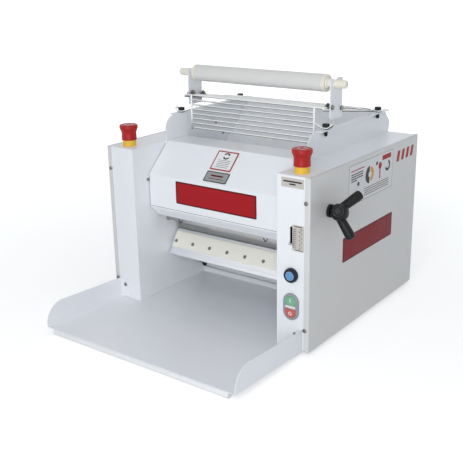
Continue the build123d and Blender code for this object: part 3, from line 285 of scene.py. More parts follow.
material = {
    "enamel": powder_coat("enamel", (0.87, 0.885, 0.92)),
    # painted shade: a greyer copy of the white enamel, darkened for the shade on the side faces
    "enamel_shaded_side": powder_coat("enamel_shaded_side", (0.685, 0.68, 0.675)),
    # the wire's second colour is its painted underside shade
    "enamel_wire": coated_wire("enamel_wire", (0.96, 0.96, 0.95), (0.07, 0.068, 0.062)),
    "rolls": turned_metal("rolls", (0.36, 0.36, 0.355), 0.09, (900, 6, 6), 0.10),
    "steel": turned_metal("steel", (0.50, 0.50, 0.50), 0.30, (4, 700, 700), 0.2),
    "zinc": zinc("zinc", (0.27, 0.265, 0.255)),
    "apron": turned_metal("apron", (0.85, 0.87, 0.91), 0.50, (4, 500, 500), 0.1),
    "zinc_dark": zinc("zinc_dark", (0.24, 0.23, 0.22), 0.32),
    "cast": cast("cast", (0.16, 0.17, 0.18)),
    "motor": powder_coat("motor", (0.10, 0.14, 0.19), 0.42, 0.5),
    "black": moulded("black", (0.008, 0.008, 0.009), 0.36, 0.05, specular=0.22),
    "navy": moulded("navy", (0.008, 0.014, 0.030), 0.34, 0.05, specular=0.25),
    "black_matt": moulded("black_matt", (0.016, 0.016, 0.017), 0.5, 0.25, specular=0.25),
    "ivory": moulded("ivory", (0.93, 0.905, 0.82), 0.40, 0.06, cloud=0.975),
    "cream": moulded("cream", (0.88, 0.84, 0.73), 0.34, 0.05, cloud=0.97),
    "tube": moulded("tube", (0.76, 0.75, 0.73), 0.36, 0.01, cloud=0.985),
    "white_plastic": moulded("white_plastic", (0.86, 0.865, 0.87), 0.30, 0.06),
    "red": moulded("red", (0.42, 0.010, 0.010), 0.34, 0.03, specular=0.28),
    "yellow": moulded("yellow", (0.88, 0.53, 0.04), 0.30, 0.04),
    "blue": moulded("blue", (0.12, 0.32, 0.62), 0.28, 0.03, specular=0.35),
    "green": moulded("green", (0.20, 0.46, 0.27), 0.28, 0.03, specular=0.35),
    "stop_red": moulded("stop_red", (0.58, 0.13, 0.12), 0.28, 0.03, specular=0.35),
    "bezel": moulded("bezel", (0.30, 0.32, 0.35), 0.38, 0.2),
    "pale_blue": moulded("pale_blue", (0.30, 0.42, 0.58), 0.28, 0.02, specular=0.35),
    "lamp": moulded("lamp", (0.78, 0.78, 0.76), 0.22, 0.02, 0.2),
    "rubber": moulded("rubber", (0.015, 0.015, 0.015), 0.75, 0.4),
    "belt": moulded("belt", (0.018, 0.018, 0.018), 0.8, 0.5),
    "print_sand": printed("print_sand", (0.60, 0.56, 0.52), 0.38),
    "print_red": printed("print_red", (0.40, 0.012, 0.018), 0.36),
    "print_crimson": printed("print_crimson", (0.25, 0.007, 0.016), 0.36),
    "print_maroon": printed("print_maroon", (0.13, 0.008, 0.012), 0.36),
    "print_white": printed("print_white", (0.86, 0.865, 0.87), 0.35),
    "print_grey": printed("print_grey", (0.33, 0.34, 0.345), 0.35),
    "print_pale": printed("print_pale", (0.80, 0.805, 0.82), 0.35),
    "print_ink": printed("print_ink", (0.05, 0.045, 0.045), 0.4),
    "print_ink_soft": printed("print_ink_soft", (0.28, 0.25, 0.23), 0.4),
    "print_amber": printed("print_amber", (0.72, 0.33, 0.05), 0.35),
}

node_material = {
    "white_enamel": "enamel",
    "steel": "steel",
    "polished_steel": "rolls",
    "zinc_steel": "zinc",
    "cast_grey": "cast",
    "motor_paint": "motor",
    "white_wire": "enamel_wire",
    "black_plastic": "black",
    "ivory_plastic": "ivory",
    "cream_plastic": "cream",
    "grey_plastic": "tube",
    "white_plastic": "white_plastic",
    "red_plastic": "red",
    "yellow_plastic": "yellow",
    "blue_plastic": "blue",
    "green_plastic": "green",
    "bezel_grey": "bezel",
    "rubber": "rubber",
    "scale_plate": "print_sand",
}
slot_of = {entry["node"]: entry["material_slot"] for entry in frame["record"]["subparts"]}
own_material = {
    "exit_apron": "apron",
    # the side covers take the enamel's darkened copy, as painted shade
    "side_cover_left": "enamel_shaded_side",
    "side_cover_right": "enamel_shaded_side",
    "stop_key": "stop_red",
    "v_belt": "belt",
    "scraper_hooks": "black_matt",
    "switch_blocks": "black_matt",
}
for name, thing in nodes.items():
    chosen = own_material.get(name, node_material[slot_of[name]])
    thing.data.materials.clear()
    thing.data.materials.append(material[chosen])
    for face in thing.data.polygons:
        face.material_index = 0


# ------------------------------------------------------------------ shape helpers
# Pieces are drawn in millimetres about their own axis, then set down in the frame by a facing and a place.
FACING = {
    "front": Matrix(((1, 0, 0), (0, 0, -1), (0, 1, 0))),
    "back": Matrix(((-1, 0, 0), (0, 0, 1), (0, 1, 0))),
    "right": Matrix(((0, 0, 1), (1, 0, 0), (0, 1, 0))),
    "left": Matrix(((0, 0, -1), (-1, 0, 0), (0, 1, 0))),
    "up": Matrix.Identity(3),
}


def facing_along(normal, across=Vector((1, 0, 0))):
    """A facing whose own Z points along normal."""
    normal = Vector(normal).normalized()
    along = (across - normal * across.dot(normal)).normalized()
    return Matrix((along, normal.cross(along), normal)).transposed()


def set_down(bm, turn, place):
    """Turns a drawn shape and puts it at a place of the drawing."""
    turn = FACING[turn] if isinstance(turn, str) else turn
    bm.transform(Matrix.Translation(Vector(place)) @ turn.to_4x4())
    return bm


def joined(shapes):
    """One mesh from several shapes."""
    whole = bmesh.new()
    for bm in shapes:
        mesh = bpy.data.meshes.new("scratch")
        bm.to_mesh(mesh)
        bm.free()
        whole.from_mesh(mesh)
        bpy.data.meshes.remove(mesh)
    return whole


def shape_from(mesh):
    """A drawn shape with a mesh's faces. The mesh itself goes."""
    bm = bmesh.new()
    bm.from_mesh(mesh)
    bpy.data.meshes.remove(mesh)
    return bm


def evaluated_mesh(thing):
    """A mesh with an object's modifiers, or its curves, made real."""
    graph = bpy.context.evaluated_depsgraph_get()
    return bpy.data.meshes.new_from_object(thing.evaluated_get(graph))


def moved(bm, place):
    bmesh.ops.translate(bm, verts=bm.verts, vec=place)
    return bm


def piece(name, bm, look, body="frame", stands_for=(), sharp=35):
    """Makes an object from a drawn shape, smooth but for edges sharper than the given angle."""
    bm.transform(Matrix.Translation(ORIGIN) @ Matrix.Scale(0.001, 4))
    bmesh.ops.recalc_face_normals(bm, faces=bm.faces)
    mesh = bpy.data.meshes.new(name)
    bm.to_mesh(mesh)
    bm.free()
    mesh.polygons.foreach_set("use_smooth", [True] * len(mesh.polygons))
    mesh.set_sharp_from_angle(angle=radians(sharp))
    mesh.materials.append(material[look])
    thing = new_object(name, mesh)
    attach(thing, body)
    if stands_for:
        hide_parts(*stands_for)
    return thing


def shifted(outline, x, y):
    return [Vector((place.x + x, place.y + y)) for place in outline]


def run_of(profile):
    return [(place.x, place.y) for place in profile]


def soften(points, closed=False, steps=6):
    """Rounds an open or closed run of (place, radius) points with arcs."""
    places = [Vector(place) for place, radius in points]
    run = []
    for number, (place, radius) in enumerate(points):
        corner = places[number]
        if radius <= 0 or (not closed and number in (0, len(points) - 1)):
            run.append(corner)
            continue
        back = places[number - 1] - corner
        ahead = places[(number + 1) % len(places)] - corner
        room = 0.499 * min(back.length, ahead.length)
        back.normalize()
        ahead.normalize()
        half = back.angle(ahead) / 2
        cut = min(radius / tan(half), room)
        centre = corner + (back + ahead).normalized() * cut / cos(half)
        first = corner + back * cut - centre
        last = corner + ahead * cut - centre
        sweep = first.angle(last)
        for step in range(steps + 1):
            t = step / steps
            run.append(centre + (first * sin((1 - t) * sweep) + last * sin(t * sweep)) / sin(sweep))
    return run


def lathe(profile, steps=48, closed=False):
    """A turned shape about Z from (radius, height) points, from axis to axis, or round a ring if closed."""
    bm = bmesh.new()
    rings = []
    for radius, height in profile:
        if radius < 0.001:
            rings.append([bm.verts.new((0, 0, height))])
        else:
            turns = [tau * step / steps for step in range(steps)]
            rings.append([bm.verts.new((radius * cos(turn), radius * sin(turn), height)) for turn in turns])
    pairs = list(zip(rings, rings[1:]))
    if closed:
        pairs.append((rings[-1], rings[0]))
    for lower, upper in pairs:
        for step in range(steps):
            after = (step + 1) % steps
            if len(lower) == 1:
                bm.faces.new((lower[0], upper[step], upper[after]))
            elif len(upper) == 1:
                bm.faces.new((lower[step], upper[0], lower[after]))
            else:
                bm.faces.new((lower[step], lower[after], upper[after], upper[step]))
    return bm


def prism(outline, depth, rim=0.0):
    """A flat plate from an outline, from Z = 0 up, with its upper edge rounded by rim."""
    bm = bmesh.new()
    layers = [(0, 0)]
    if rim > 0:
        layers += [(rim * (1 - cos(a)), depth - rim + rim * sin(a)) for a in (0, pi / 6, pi / 3, pi / 2)]
    else:
        layers.append((0, depth))
    count = len(outline)
    normals = []
    for number in range(count):
        before = (outline[number] - outline[number - 1]).normalized()
        after = (outline[(number + 1) % count] - outline[number]).normalized()
        middle = (before + after).normalized()
        inwards = Vector((-middle.y, middle.x))
        normals.append(inwards / max(0.3, before.dot(middle)))
    rings = []
    for inset, height in layers:
        edge = [place + normal * inset for place, normal in zip(outline, normals)]
        rings.append([bm.verts.new((*place, height)) for place in edge])
    for lower, upper in zip(rings, rings[1:]):
        for i in range(count):
            j = (i + 1) % count
            bm.faces.new((lower[i], lower[j], upper[j], upper[i]))
    bm.faces.new(list(reversed(rings[0])))
    bm.faces.new(rings[-1])
    return bm


def rectangle(width, height, radius=0.0, x=0.0, y=0.0, lean=0.0):
    """A rounded rectangle, anticlockwise. lean shifts the upper edge along X."""
    corners = [
        (x - width / 2, y - height / 2),
        (x + width / 2, y - height / 2),
        (x + width / 2 + lean, y + height / 2),
        (x - width / 2 + lean, y + height / 2),
    ]
    return soften([(corner, radius) for corner in corners], closed=True, steps=5)


def disc(radius, steps=32, x=0.0, y=0.0):
    turns = [tau * step / steps for step in range(steps)]
    return [Vector((x + radius * cos(turn), y + radius * sin(turn))) for turn in turns]


def sector(outer, inner, start, end, steps=14):
    """A ring sector between two angles in degrees, anticlockwise."""
    turns = [radians(start + (end - start) * i / steps) for i in range(steps + 1)]
    outline = [Vector((outer * cos(a), outer * sin(a))) for a in turns]
    return outline + [Vector((inner * cos(a), inner * sin(a))) for a in reversed(turns)]


WIRE_SIDES = 12


def wire(points, radius, closed=False):
    """A round wire along a run of points, with domed ends if it is open."""
    bm = bmesh.new()
    count = len(points)
    tangents = []
    for number in range(count):
        before = points[number - 1] if closed or number else points[number]
        after = points[(number + 1) % count] if closed or number < count - 1 else points[number]
        tangents.append((after - before).normalized())
    side = tangents[0].orthogonal().normalized()
    rings = []
    for number in range(count):
        tangent = tangents[number]
        side = (side - tangent * side.dot(tangent)).normalized()
        other = tangent.cross(side)
        spots = [(0, 1)]
        if not closed and number == 0:
            spots = [(-1, 0.3), (-0.7, 0.72), (0, 1)]
        if not closed and number == count - 1:
            spots = [(0, 1), (0.7, 0.72), (1, 0.3)]
        for along, share in spots:
            centre = points[number] + tangent * along * radius
            ring = []
            for step in range(WIRE_SIDES):
                turn = tau * step / WIRE_SIDES
                ring.append(bm.verts.new(centre + (side * cos(turn) + other * sin(turn)) * radius * share))
            rings.append(ring)
    joins = list(zip(rings, rings[1:]))
    if closed:
        joins.append((rings[-1], rings[0]))
    for lower, upper in joins:
        for i in range(WIRE_SIDES):
            j = (i + 1) % WIRE_SIDES
            bm.faces.new((lower[i], lower[j], upper[j], upper[i]))
    if not closed:
        bm.faces.new(list(reversed(rings[0])))
        bm.faces.new(rings[-1])
    return bm


def carved(bm, cutter):
    """A shape with another cut out of it."""
    things = []
    for shape in (bm, cutter):
        bmesh.ops.recalc_face_normals(shape, faces=shape.faces)
        mesh = bpy.data.meshes.new("carve")
        shape.to_mesh(mesh)
        shape.free()
        things.append(new_object("carve", mesh))
    cut = things[0].modifiers.new("cut", "BOOLEAN")
    cut.object = things[1]
    cut.operation = "DIFFERENCE"
    cut.solver = "EXACT"
    result = shape_from(evaluated_mesh(things[0]))
    for thing in things:
        bpy.data.meshes.remove(thing.data)
    return result


# ------------------------------------------------------------------ wire guard
GUARD_PITCH = 11.2
GUARD_WIRES = 8
GUARD_FRONT_Y = 191.0
GUARD_DROP = 0.1575
WIRE_R, ROD_R, RISER_R, EYE_R = 2.0, 3.0, 2.5, 1.8
ROD_X = WALL - 5.3
EYE_LIFT = 2.3
EYE_Z = drawn_box("hopper_side_right")[1].z + EYE_LIFT
KNOB_FRONT = node_middle("guard_knob_front_right")
KNOB_REAR = node_middle("guard_knob_rear_right")


def make_guard():
    bottom = drawn_box("wire_guard")[0].z + WIRE_R
    top = bottom + GUARD_PITCH * (GUARD_WIRES - 1)
    half = WALL - 27
    shapes = []

    def rod_z(y):
        return top - 3 - GUARD_DROP * (y - GUARD_FRONT_Y)

    def run(points, radius=WIRE_R):
        corners = [(point[:3], point[3] if len(point) > 3 else 0) for point in points]
        shapes.append(wire(soften(corners), radius))

    def cross(x, y, radius=0):
        return x, y, rod_z(y) + 4.5, radius

    for number in range(GUARD_WIRES):
        reach = half if number < GUARD_WIRES - 1 else ROD_X + 1
        height = bottom + GUARD_PITCH * number
        run([(-reach, GUARD_FRONT_Y, height), (reach, GUARD_FRONT_Y, height)])
    reach = ROD_X + 1.5
    for y in (270, 351, 363, 405):
        run([cross(-reach, y), cross(reach, y)])
    run([cross(reach, 200), cross(-183, 200, 16), cross(-176, 235, 16), cross(reach, 235)])
    run([cross(-reach, 297), cross(185, 297, 5.9), cross(185, 309, 5.9), cross(-reach, 309)])
    for side in (-1, 1):
        run([(side * ROD_X, y, rod_z(y)) for y in (GUARD_FRONT_Y - 1, KNOB_REAR.y + 2)], ROD_R)
        riser_y = GUARD_FRONT_Y - 3.6
        run([(side * half, riser_y, z) for z in (bottom - 1, top + 1)], RISER_R)
        y = KNOB_FRONT.y
        front_eye = [
            (side * half, riser_y + 0.5, EYE_Z + 8, 0),
            (side * (half + 17), y - 4, EYE_Z + 2.5, 12),
            (side * (half + 26), y - 5.5, EYE_Z, 8),
            (side * (WALL + 13), y - 5.5, EYE_Z, 20),
            (side * (WALL + 20), y - 5, EYE_Z + 8, 4.5),
            (side * (WALL + 20), y + 5, EYE_Z + 8, 4.5),
            (side * (WALL + 13), y + 5.5, EYE_Z, 20),
            (side * (half + 24), y + 5.5, EYE_Z, 5.4),
            (side * (half + 21), y - 3, EYE_Z + 1.5, 0),
        ]
        run(front_eye, EYE_R)
        y = KNOB_REAR.y
        near, far = side * (ROD_X + 1.5), side * (WALL + 12.7)
        rear_eye = [
            ((near, y - 5.5, EYE_Z - 0.3), 5.4),
            ((far, y - 5.5, EYE_Z), 5.4),
            ((far, y + 5.5, EYE_Z), 5.4),
            ((near, y + 5.5, EYE_Z - 0.3), 5.4),
        ]
        shapes.append(wire(soften(rear_eye, closed=True), EYE_R, closed=True))
    bm = joined(shapes)
    piece("guard_wires", bm, "enamel_wire", stands_for=["wire_guard"], sharp=60)


make_guard()


# ------------------------------------------------------------------ guard knobs
def make_knob(end, side):
    node = "guard_knob_" + end + "_" + side
    low, high = drawn_box(node)
    middle = node_middle(node)
    knob_r, knob_h = (high.x - low.x) / 2, 7.0
    seat = high.z - knob_h
    outline = []
    flutes, per_flute, flute_depth = 12, 8, 0.75
    for step in range(flutes * per_flute):
        turn = tau * step / (flutes * per_flute)
        radius = knob_r - flute_depth * abs(sin(flutes * turn / 2)) ** 3
        outline.append(Vector((radius * cos(turn), radius * sin(turn))))
    cap = moved(prism(outline, knob_h, 1.6), (0, 0, seat))
    stud_r, nut_r, nut_h = 3, 4, 11
    nut_top = EYE_Z - EYE_LIFT - 3.0
    nut_low = nut_top - nut_h
    stud = [(0, low.z), (2.4, low.z), (stud_r, low.z + 0.8), (stud_r, seat + 1), (0, seat + 1)]
    nut = [(3.6, nut_low), (nut_r, nut_low + 0.6), (nut_r, nut_top - 0.4), (3.8, nut_top)]
    nut = [(stud_r + 0.01, nut_low), *nut, (stud_r + 0.01, nut_top)]
    shapes = [cap, lathe(stud, 24), lathe(nut, 24, closed=True)]
    bm = set_down(joined(shapes), "up", (middle.x, middle.y, 0))
    piece("knob_" + end + "_" + side, bm, "black", "knob_" + end + "_" + side, [node])


for end_name in ("front", "rear"):
    for side_name in ("left", "right"):
        make_knob(end_name, side_name)


# ------------------------------------------------------------------ rolling pin
def make_pin():
    axle_low, axle_high = drawn_box("rolling_pin_axle")
    tube_low, tube_high = drawn_box("rolling_pin_tube")
    middle = (axle_low + axle_high) / 2
    half = (axle_high.x - axle_low.x) / 2
    tube_half = (tube_high.x - tube_low.x) / 2
    tube_r = (tube_high.z - tube_low.z) / 2
    plug_in = tube_half + 0.3
    plug_out = plug_in + 8
    step_out = plug_out + 3
    grip_r, collar_r, spindle_r = 9.3, 13, 8.0
    side = [
        ((0, half), 0),
        ((grip_r - 0.4, half), 6.5),
        ((grip_r, half - 22), 40),
        ((grip_r, step_out), 0.8),
        ((collar_r, step_out), 1.2),
        ((collar_r, plug_out), 0.4),
        ((tube_r, plug_out), 2.0),
        ((tube_r, plug_in), 0.3),
        ((spindle_r, plug_in), 0),
    ]
    upper = soften(side)
    lower = [Vector((place.x, -place.y)) for place in reversed(upper)]
    turn = facing_along((-1, 0, 0), Vector((0, 1, 0)))
    axle = set_down(lathe(run_of(upper + lower), 48), turn, middle)
    piece("pin_handles", axle, "cream", "pin_axle", ["rolling_pin_axle"])


make_pin()


# ------------------------------------------------------------------ emergency stops
def make_estop(side_name):
    node = "estop_head_" + side_name
    low, high = drawn_box(node)
    middle = (low + high) / 2
    rim = (high.x - low.x) / 2
    waist = rim - 4.1
    head_top = high.z
    skirt = TOP + 14
    floor = skirt + 6
    profile = [
        ((0, head_top - 0.4), 0),
        ((12, head_top - 0.4), 2),
        ((14, head_top), 2),
        ((rim - 0.2, head_top - 0.4), 3.0),
        ((rim, head_top - 8), 3.0),
        ((waist, head_top - 18), 16.0),
        ((waist, head_top - 27), 0.0),
        ((waist + 0.5, skirt), 0.6),
        ((16.4, skirt), 0.3),
        ((16.4, floor), 0),
        ((9, floor), 0),
        ((9, low.z), 0),
        ((0, low.z), 0),
    ]
    head = lathe([(max(place.x, 0), place.y) for place in soften(profile)], 64)
    head = set_down(head, "up", (middle.x, middle.y, 0))
    body = "estop_" + side_name
    piece("estop_cap_" + side_name, head, "red", body, [node])
    arrows = []
    sweep, thickness = 66, 0.25
    for start in (20, 140, 260):
        arrows.append(prism(sector(9.6, 8.0, start, start + sweep), thickness))
        a = radians(start + sweep)
        tip = [Vector((r * cos(a + t), r * sin(a + t))) for r, t in ((7.0, 0), (10.6, 0), (8.8, 0.34))]
        arrows.append(prism(tip, thickness))
    bm = set_down(joined(arrows), "up", (middle.x, middle.y, head_top - 0.5))
    piece("estop_arrows_" + side_name, bm, "print_white", body)


for side_name in ("left", "right"):
    make_estop(side_name)


def make_estop_collars():
    shapes = []
    for side_name in ("left", "right"):
        middle = node_middle("estop_head_" + side_name)
        profile = soften(
            [
                ((9.05, TOP + 15), 0),
                ((15.2, TOP + 15), 1.2),
                ((16, TOP + 13), 1.0),
                ((15.3, TOP + 3), 1.0),
                ((16, TOP + 2), 0.6),
                ((16, TOP), 0),
                ((11, TOP), 0),
                ((11, TOP - 3), 0),
                ((15, TOP - 3), 0),
                ((15, TOP - 9), 0),
                ((9.05, TOP - 9), 0),
            ]
        )
        ring = lathe(run_of(profile), 64, closed=True)
        shapes.append(set_down(ring, "up", (middle.x, middle.y, 0)))
    piece("estop_rings", joined(shapes), "yellow", stands_for=["estop_collars"])


make_estop_collars()


# ------------------------------------------------------------------ hood's painted shade line
SHADE_LINE_DROP = 145.6


def make_hood_seam():
    """A thin dark strip painted as the shade under the hem along the hood's lower edge."""
    low, high = drawn_box("front_hood")
    # painted shade: a near-black foil where the hem's edge casts its shadow line
    strip = prism(rectangle(high.x - low.x - 1.0, 0.9), 0.06)
    piece("hood_shade_line", set_down(strip, "front", (0, HOOD_Y, TOP - SHADE_LINE_DROP)), "print_ink")


make_hood_seam()


# ------------------------------------------------------------------ push buttons
RESET = node_middle("reset_button")
DUO = node_middle("control_bezel")


def make_reset_button():
    low, high = drawn_box("reset_button_ring")
    reach = -low.y
    r = (high.x - low.x) / 2
    bore_r, cap_r, stem_r = 10.6, 10.1, 6
    profile = [
        ((bore_r, reach - 0.4), 0.4),
        ((11.8, reach), 0.6),
        ((r - 2.2, reach), 1.6),
        ((r - 0.4, reach - 3.2), 1.2),
        ((r - 0.4, 2.2), 0.5),
        ((r, 2.0), 0.4),
        ((r, 0), 0),
        ((9, 0), 0),
        ((9, -14), 0),
        ((stem_r + 0.1, -14), 0),
        ((stem_r + 0.1, 1.5), 0),
        ((bore_r, 1.5), 0),
    ]
    place = (RESET.x, 0, RESET.z)
    ring = set_down(lathe(run_of(soften(profile, closed=True)), 56, closed=True), "front", place)
    piece("reset_ring", ring, "navy", stands_for=["reset_button_ring"])
    cap_top = reach - 0.6
    profile = [
        ((0, cap_top), 0),
        ((6, cap_top - 0.25), 20),
        ((cap_r, cap_top - 0.9), 1.0),
        ((cap_r, 3.9), 0),
        ((stem_r, 3.9), 0),
        ((stem_r, -15.5), 0),
        ((0, -15.5), 0),
    ]
    cap = set_down(lathe(run_of(soften(profile)), 48), "front", place)
    piece("reset_cap", cap, "blue", "reset_button", ["reset_button"])
    profile = [
        ((8.4, cap_top - 1.8), 0),
        ((cap_r, cap_top - 1.8), 0),
        ((cap_r, cap_top - 0.6), 0.4),
        ((9.7, cap_top - 0.1), 0.3),
        ((8.7, cap_top - 0.1), 0.3),
        ((8.4, cap_top - 0.5), 0.1),
    ]
    rim = lathe(run_of(soften(profile, closed=True)), 48, closed=True)
    piece("reset_rim", set_down(rim, "front", place), "pale_blue", "reset_button")


make_reset_button()


def round_end(width, height, steps):
    """The upper half circle of a stadium."""
    r = width / 2
    turns = [pi * step / steps for step in range(steps + 1)]
    return [Vector((r * cos(turn), height / 2 - r + r * sin(turn))) for turn in turns]


def stadium(width, height):
    outline = round_end(width, height, 20)
    return outline + [-place for place in outline]


def half_stadium(width, height, divider, up):
    """The part of a stadium beyond the divider, with rounded lower corners."""
    r = width / 2
    straight = height / 2 - r
    lower = soften([((-r, straight), 0), ((-r, divider), 1.6), ((r, divider), 1.6), ((r, straight), 0)])
    outline = round_end(width, height, 16) + lower[1:-1]
    return outline if up > 0 else [-place for place in outline]


def make_start_stop():
    low, high = drawn_box("control_bezel")
    width, height, depth = high.x - low.x, high.z - low.z, -low.y
    place = (DUO.x, 0, DUO.z)
    floor, key_seat, mark_rise = 1.5, 3.8, 14.5
    windows = [prism(half_stadium(width - 10, height - 10, 4.5, up), depth) for up in (1, -1)]
    windows = moved(joined(windows), (0, 0, floor))
    bezel = set_down(carved(prism(stadium(width, height), depth, 1.4), windows), "front", place)
    piece("bezel_frame", bezel, "bezel", stands_for=["control_bezel"])
    lamp = moved(prism(rectangle(width - 12.5, 5.4, 1.2), 1.0, 0.4), (0, 0, depth - 0.1))
    piece("bezel_lamp", set_down(lamp, "front", place), "lamp")
    start = ("start_key", "green", "green_plastic", 1, rectangle(1.8, 8.5, 0.3))
    stop = ("stop_key", "stop_red", "red_plastic", -1, sector(4.2, 2.6, 0, 359.9, 40))
    for node, look, slot, up, sign in (start, stop):
        key = prism(half_stadium(width - 10.6, height - 10.6, 4.8, up), depth - 2.6, 1.0)
        stem = lathe([(0, -14), (6, -14), (6, 4), (0, 4)], 24)
        cap = joined([moved(key, (0, 0, key_seat)), stem])
        piece(node + "_cap", set_down(cap, "front", place), look, node, [node])
        mark = moved(prism(sign, 0.3), (0, up * mark_rise, depth + 1.1))
        piece(node + "_mark", set_down(mark, "front", place), "print_white", node)


make_start_stop()


# ------------------------------------------------------------------ gap handle
HANDLE_X = OUTER + 17
ARM_ANGLES = (38, -82, 158)
ARM_TIP_X, ARM_REACH, ARM_NOSE = 30, 51, 4.4


def make_handle():
    """Hub and arms as turned shapes, run together into one moulding by a voxel skin."""
    bush_low, bush_high = drawn_box("handle_bush")
    axis = (bush_low + bush_high) / 2
    centre = (HANDLE_X, axis.y, axis.z)
    neck_start = bush_high.x + 1 - HANDLE_X
    hub = [
        ((0, neck_start), 0),
        ((12.2, neck_start), 0.8),
        ((13, neck_start + 2), 2),
        ((13, -8), 3),
        ((17.9, 0), 8),
        ((17.9, 14), 10),
        ((10.5, 24.5), 12),
        ((0, 26), 0),
    ]
    turn = facing_along((1, 0, 0), Vector((0, 1, 0)))
    shapes = [set_down(lathe(run_of(soften(hub)), 56), turn, centre)]
    for degrees_up in ARM_ANGLES:
        a = radians(degrees_up)
        reach = Vector((ARM_TIP_X, ARM_REACH * cos(a), ARM_REACH * sin(a)))
        length = reach.length + ARM_NOSE
        arm = [
            ((0, -2), 0),
            ((10.0, -2), 0),
            ((9.8, 24), 9),
            ((10.7, length - 14), 6),
            ((10.2, length), 5),
            ((0, length), 0),
        ]
        shapes.append(set_down(lathe(run_of(soften(arm)), 48), facing_along(reach), centre))
    rough = joined(shapes)
    bmesh.ops.recalc_face_normals(rough, faces=rough.faces)
    mesh = bpy.data.meshes.new("rough_handle")
    rough.to_mesh(mesh)
    rough.free()
    thing = new_object("rough_handle", mesh)
    remesh = thing.modifiers.new("skin", "REMESH")
    remesh.mode = "VOXEL"
    remesh.voxel_size = 0.8
    smooth = thing.modifiers.new("fair", "SMOOTH")
    smooth.iterations = 6
    smooth.factor = 0.5
    bm = shape_from(evaluated_mesh(thing))
    bpy.data.meshes.remove(mesh)
    piece("handle_moulding", bm, "black", "gap_control", ["gap_handle"], sharp=70)


make_handle()


# ------------------------------------------------------------------ screws
def cross_head(r, h, recess=0.42):
    """A domed screw head with a cross recess."""
    side = [((0, h), 0), ((r * 0.75, h * 0.96), r), ((r, h * 0.45), h * 0.5), ((r, 0), 0), ((0, 0), 0)]
    head = lathe(run_of(soften(side)), 28)
    arm = r * 0.13
    reach = r * recess * 1.3
    for width, height in ((reach, arm), (arm * 0.98, reach * 0.98)):
        bar = prism(rectangle(2 * width, 2 * height), h)
        head = carved(head, moved(bar, (0, 0, h * 0.42)))
    return head


def copies(shape, spots):
    """A shape repeated at (facing, place) spots."""
    whole = joined([set_down(shape.copy(), turn, place) for turn, place in spots])
    shape.free()
    return whole


def make_small_screws():
    """The side covers' and tray's screws in front, the hopper's inside, and the hood's stop pins."""
    cover_x = OUTER - 9
    tab_x = drawn_box("outlet_tray")[1].x - 17.5
    front, hopper, stop = [], [], []
    for side, facing_in in ((-1, "right"), (1, "left")):
        for height in SCREW_HEIGHTS:
            front.append(("front", (side * cover_x, -2, height)))
        front.append(("front", (side * tab_x, -1.5, BASE + 36)))
        for y, z in ((313, TOP + 13), (343, TOP - 19), (454, TOP - 16)):
            hopper.append((facing_in, (side * (WALL - 2), y, z)))
        stop.append((facing_in, (side * WALL, 46.5, TOP - 81)))
    heads = [cross_head(4.7, 2.2), cross_head(3.4, 2.2), cross_head(3.6, 4)]
    shapes = [copies(head, spots) for head, spots in zip(heads, (front, hopper, stop))]
    piece("small_screws", joined(shapes), "zinc", stands_for=["screw_heads"], sharp=40)


make_small_screws()


def make_scraper_screws():
    """Eight screws on the ivory sheet, placed from the CAD heads' own box."""
    low, high = drawn_box("scraper_screws")
    slope = radians(56.3)
    out = Vector((0, -sin(slope), cos(slope)))
    count, r, shown_r, h = 8, 3.6, 4.5, 1.6
    middle = (low + high) / 2 - out * h / 2
    pitch = (high.x - low.x - 2 * r) / (count - 1)
    spots = []
    for number in range(count):
        place = (middle.x + (number - (count - 1) / 2) * pitch, middle.y, middle.z)
        spots.append((facing_along(out), place))
    bm = copies(cross_head(shown_r, h, 0.5), spots)
    piece("sheet_screws", bm, "zinc_dark", "apron", ["scraper_screws"], sharp=40)


make_scraper_screws()


def make_tray_clip():
    """The dark spring clip with its bolt at the tray's rear corner, on the left housing's inner wall."""
    thickness = 6
    upper = [((205, 62), 3), ((228, 55), 6), ((249, 44), 4), ((253, 26), 1)]
    lower = [((246, 25), 1), ((241, 36), 5), ((212, 52), 3)]
    clip = prism(soften(upper + lower, closed=True), thickness, 0.8)
    piece("tray_clip", set_down(clip, "right", (-WALL, 0, 0)), "black_matt", sharp=40)
    bolt = set_down(cross_head(4, 3), "right", (-WALL + thickness, 244, 38))
    piece("tray_clip_bolt", bolt, "zinc", sharp=40)


make_tray_clip()


def make_back_screws():
    spots = []
    for x in (-185, -60, 60, 185):
        for z in (BASE + 20, TOP - 14):
            spots.append(("back", (x, BACK, z)))
    for side in (-1, 1):
        for z in SCREW_HEIGHTS:
            spots.append(("back", (side * (OUTER - 7), BACK + 2, z)))
    piece("back_screws", copies(cross_head(3.6, 2.0), spots), "zinc", sharp=40)


make_back_screws()


# ------------------------------------------------------------------ labels, left plain
def label(name, turn, place, layers):
    """A foil of stacked prints: each layer is (outlines, height, thickness, look)."""
    for number, (outlines, height, thickness, look) in enumerate(layers):
        foil = moved(joined([prism(outline, thickness) for outline in outlines]), (0, 0, height))
        piece(name + "_" + str(number), set_down(foil, turn, place), look, sharp=30)


HOOD_BEND_DROP = 68
HOOD_SLOPE_RUN = 72
FRONT_PLATE = (229.5, 54.0)


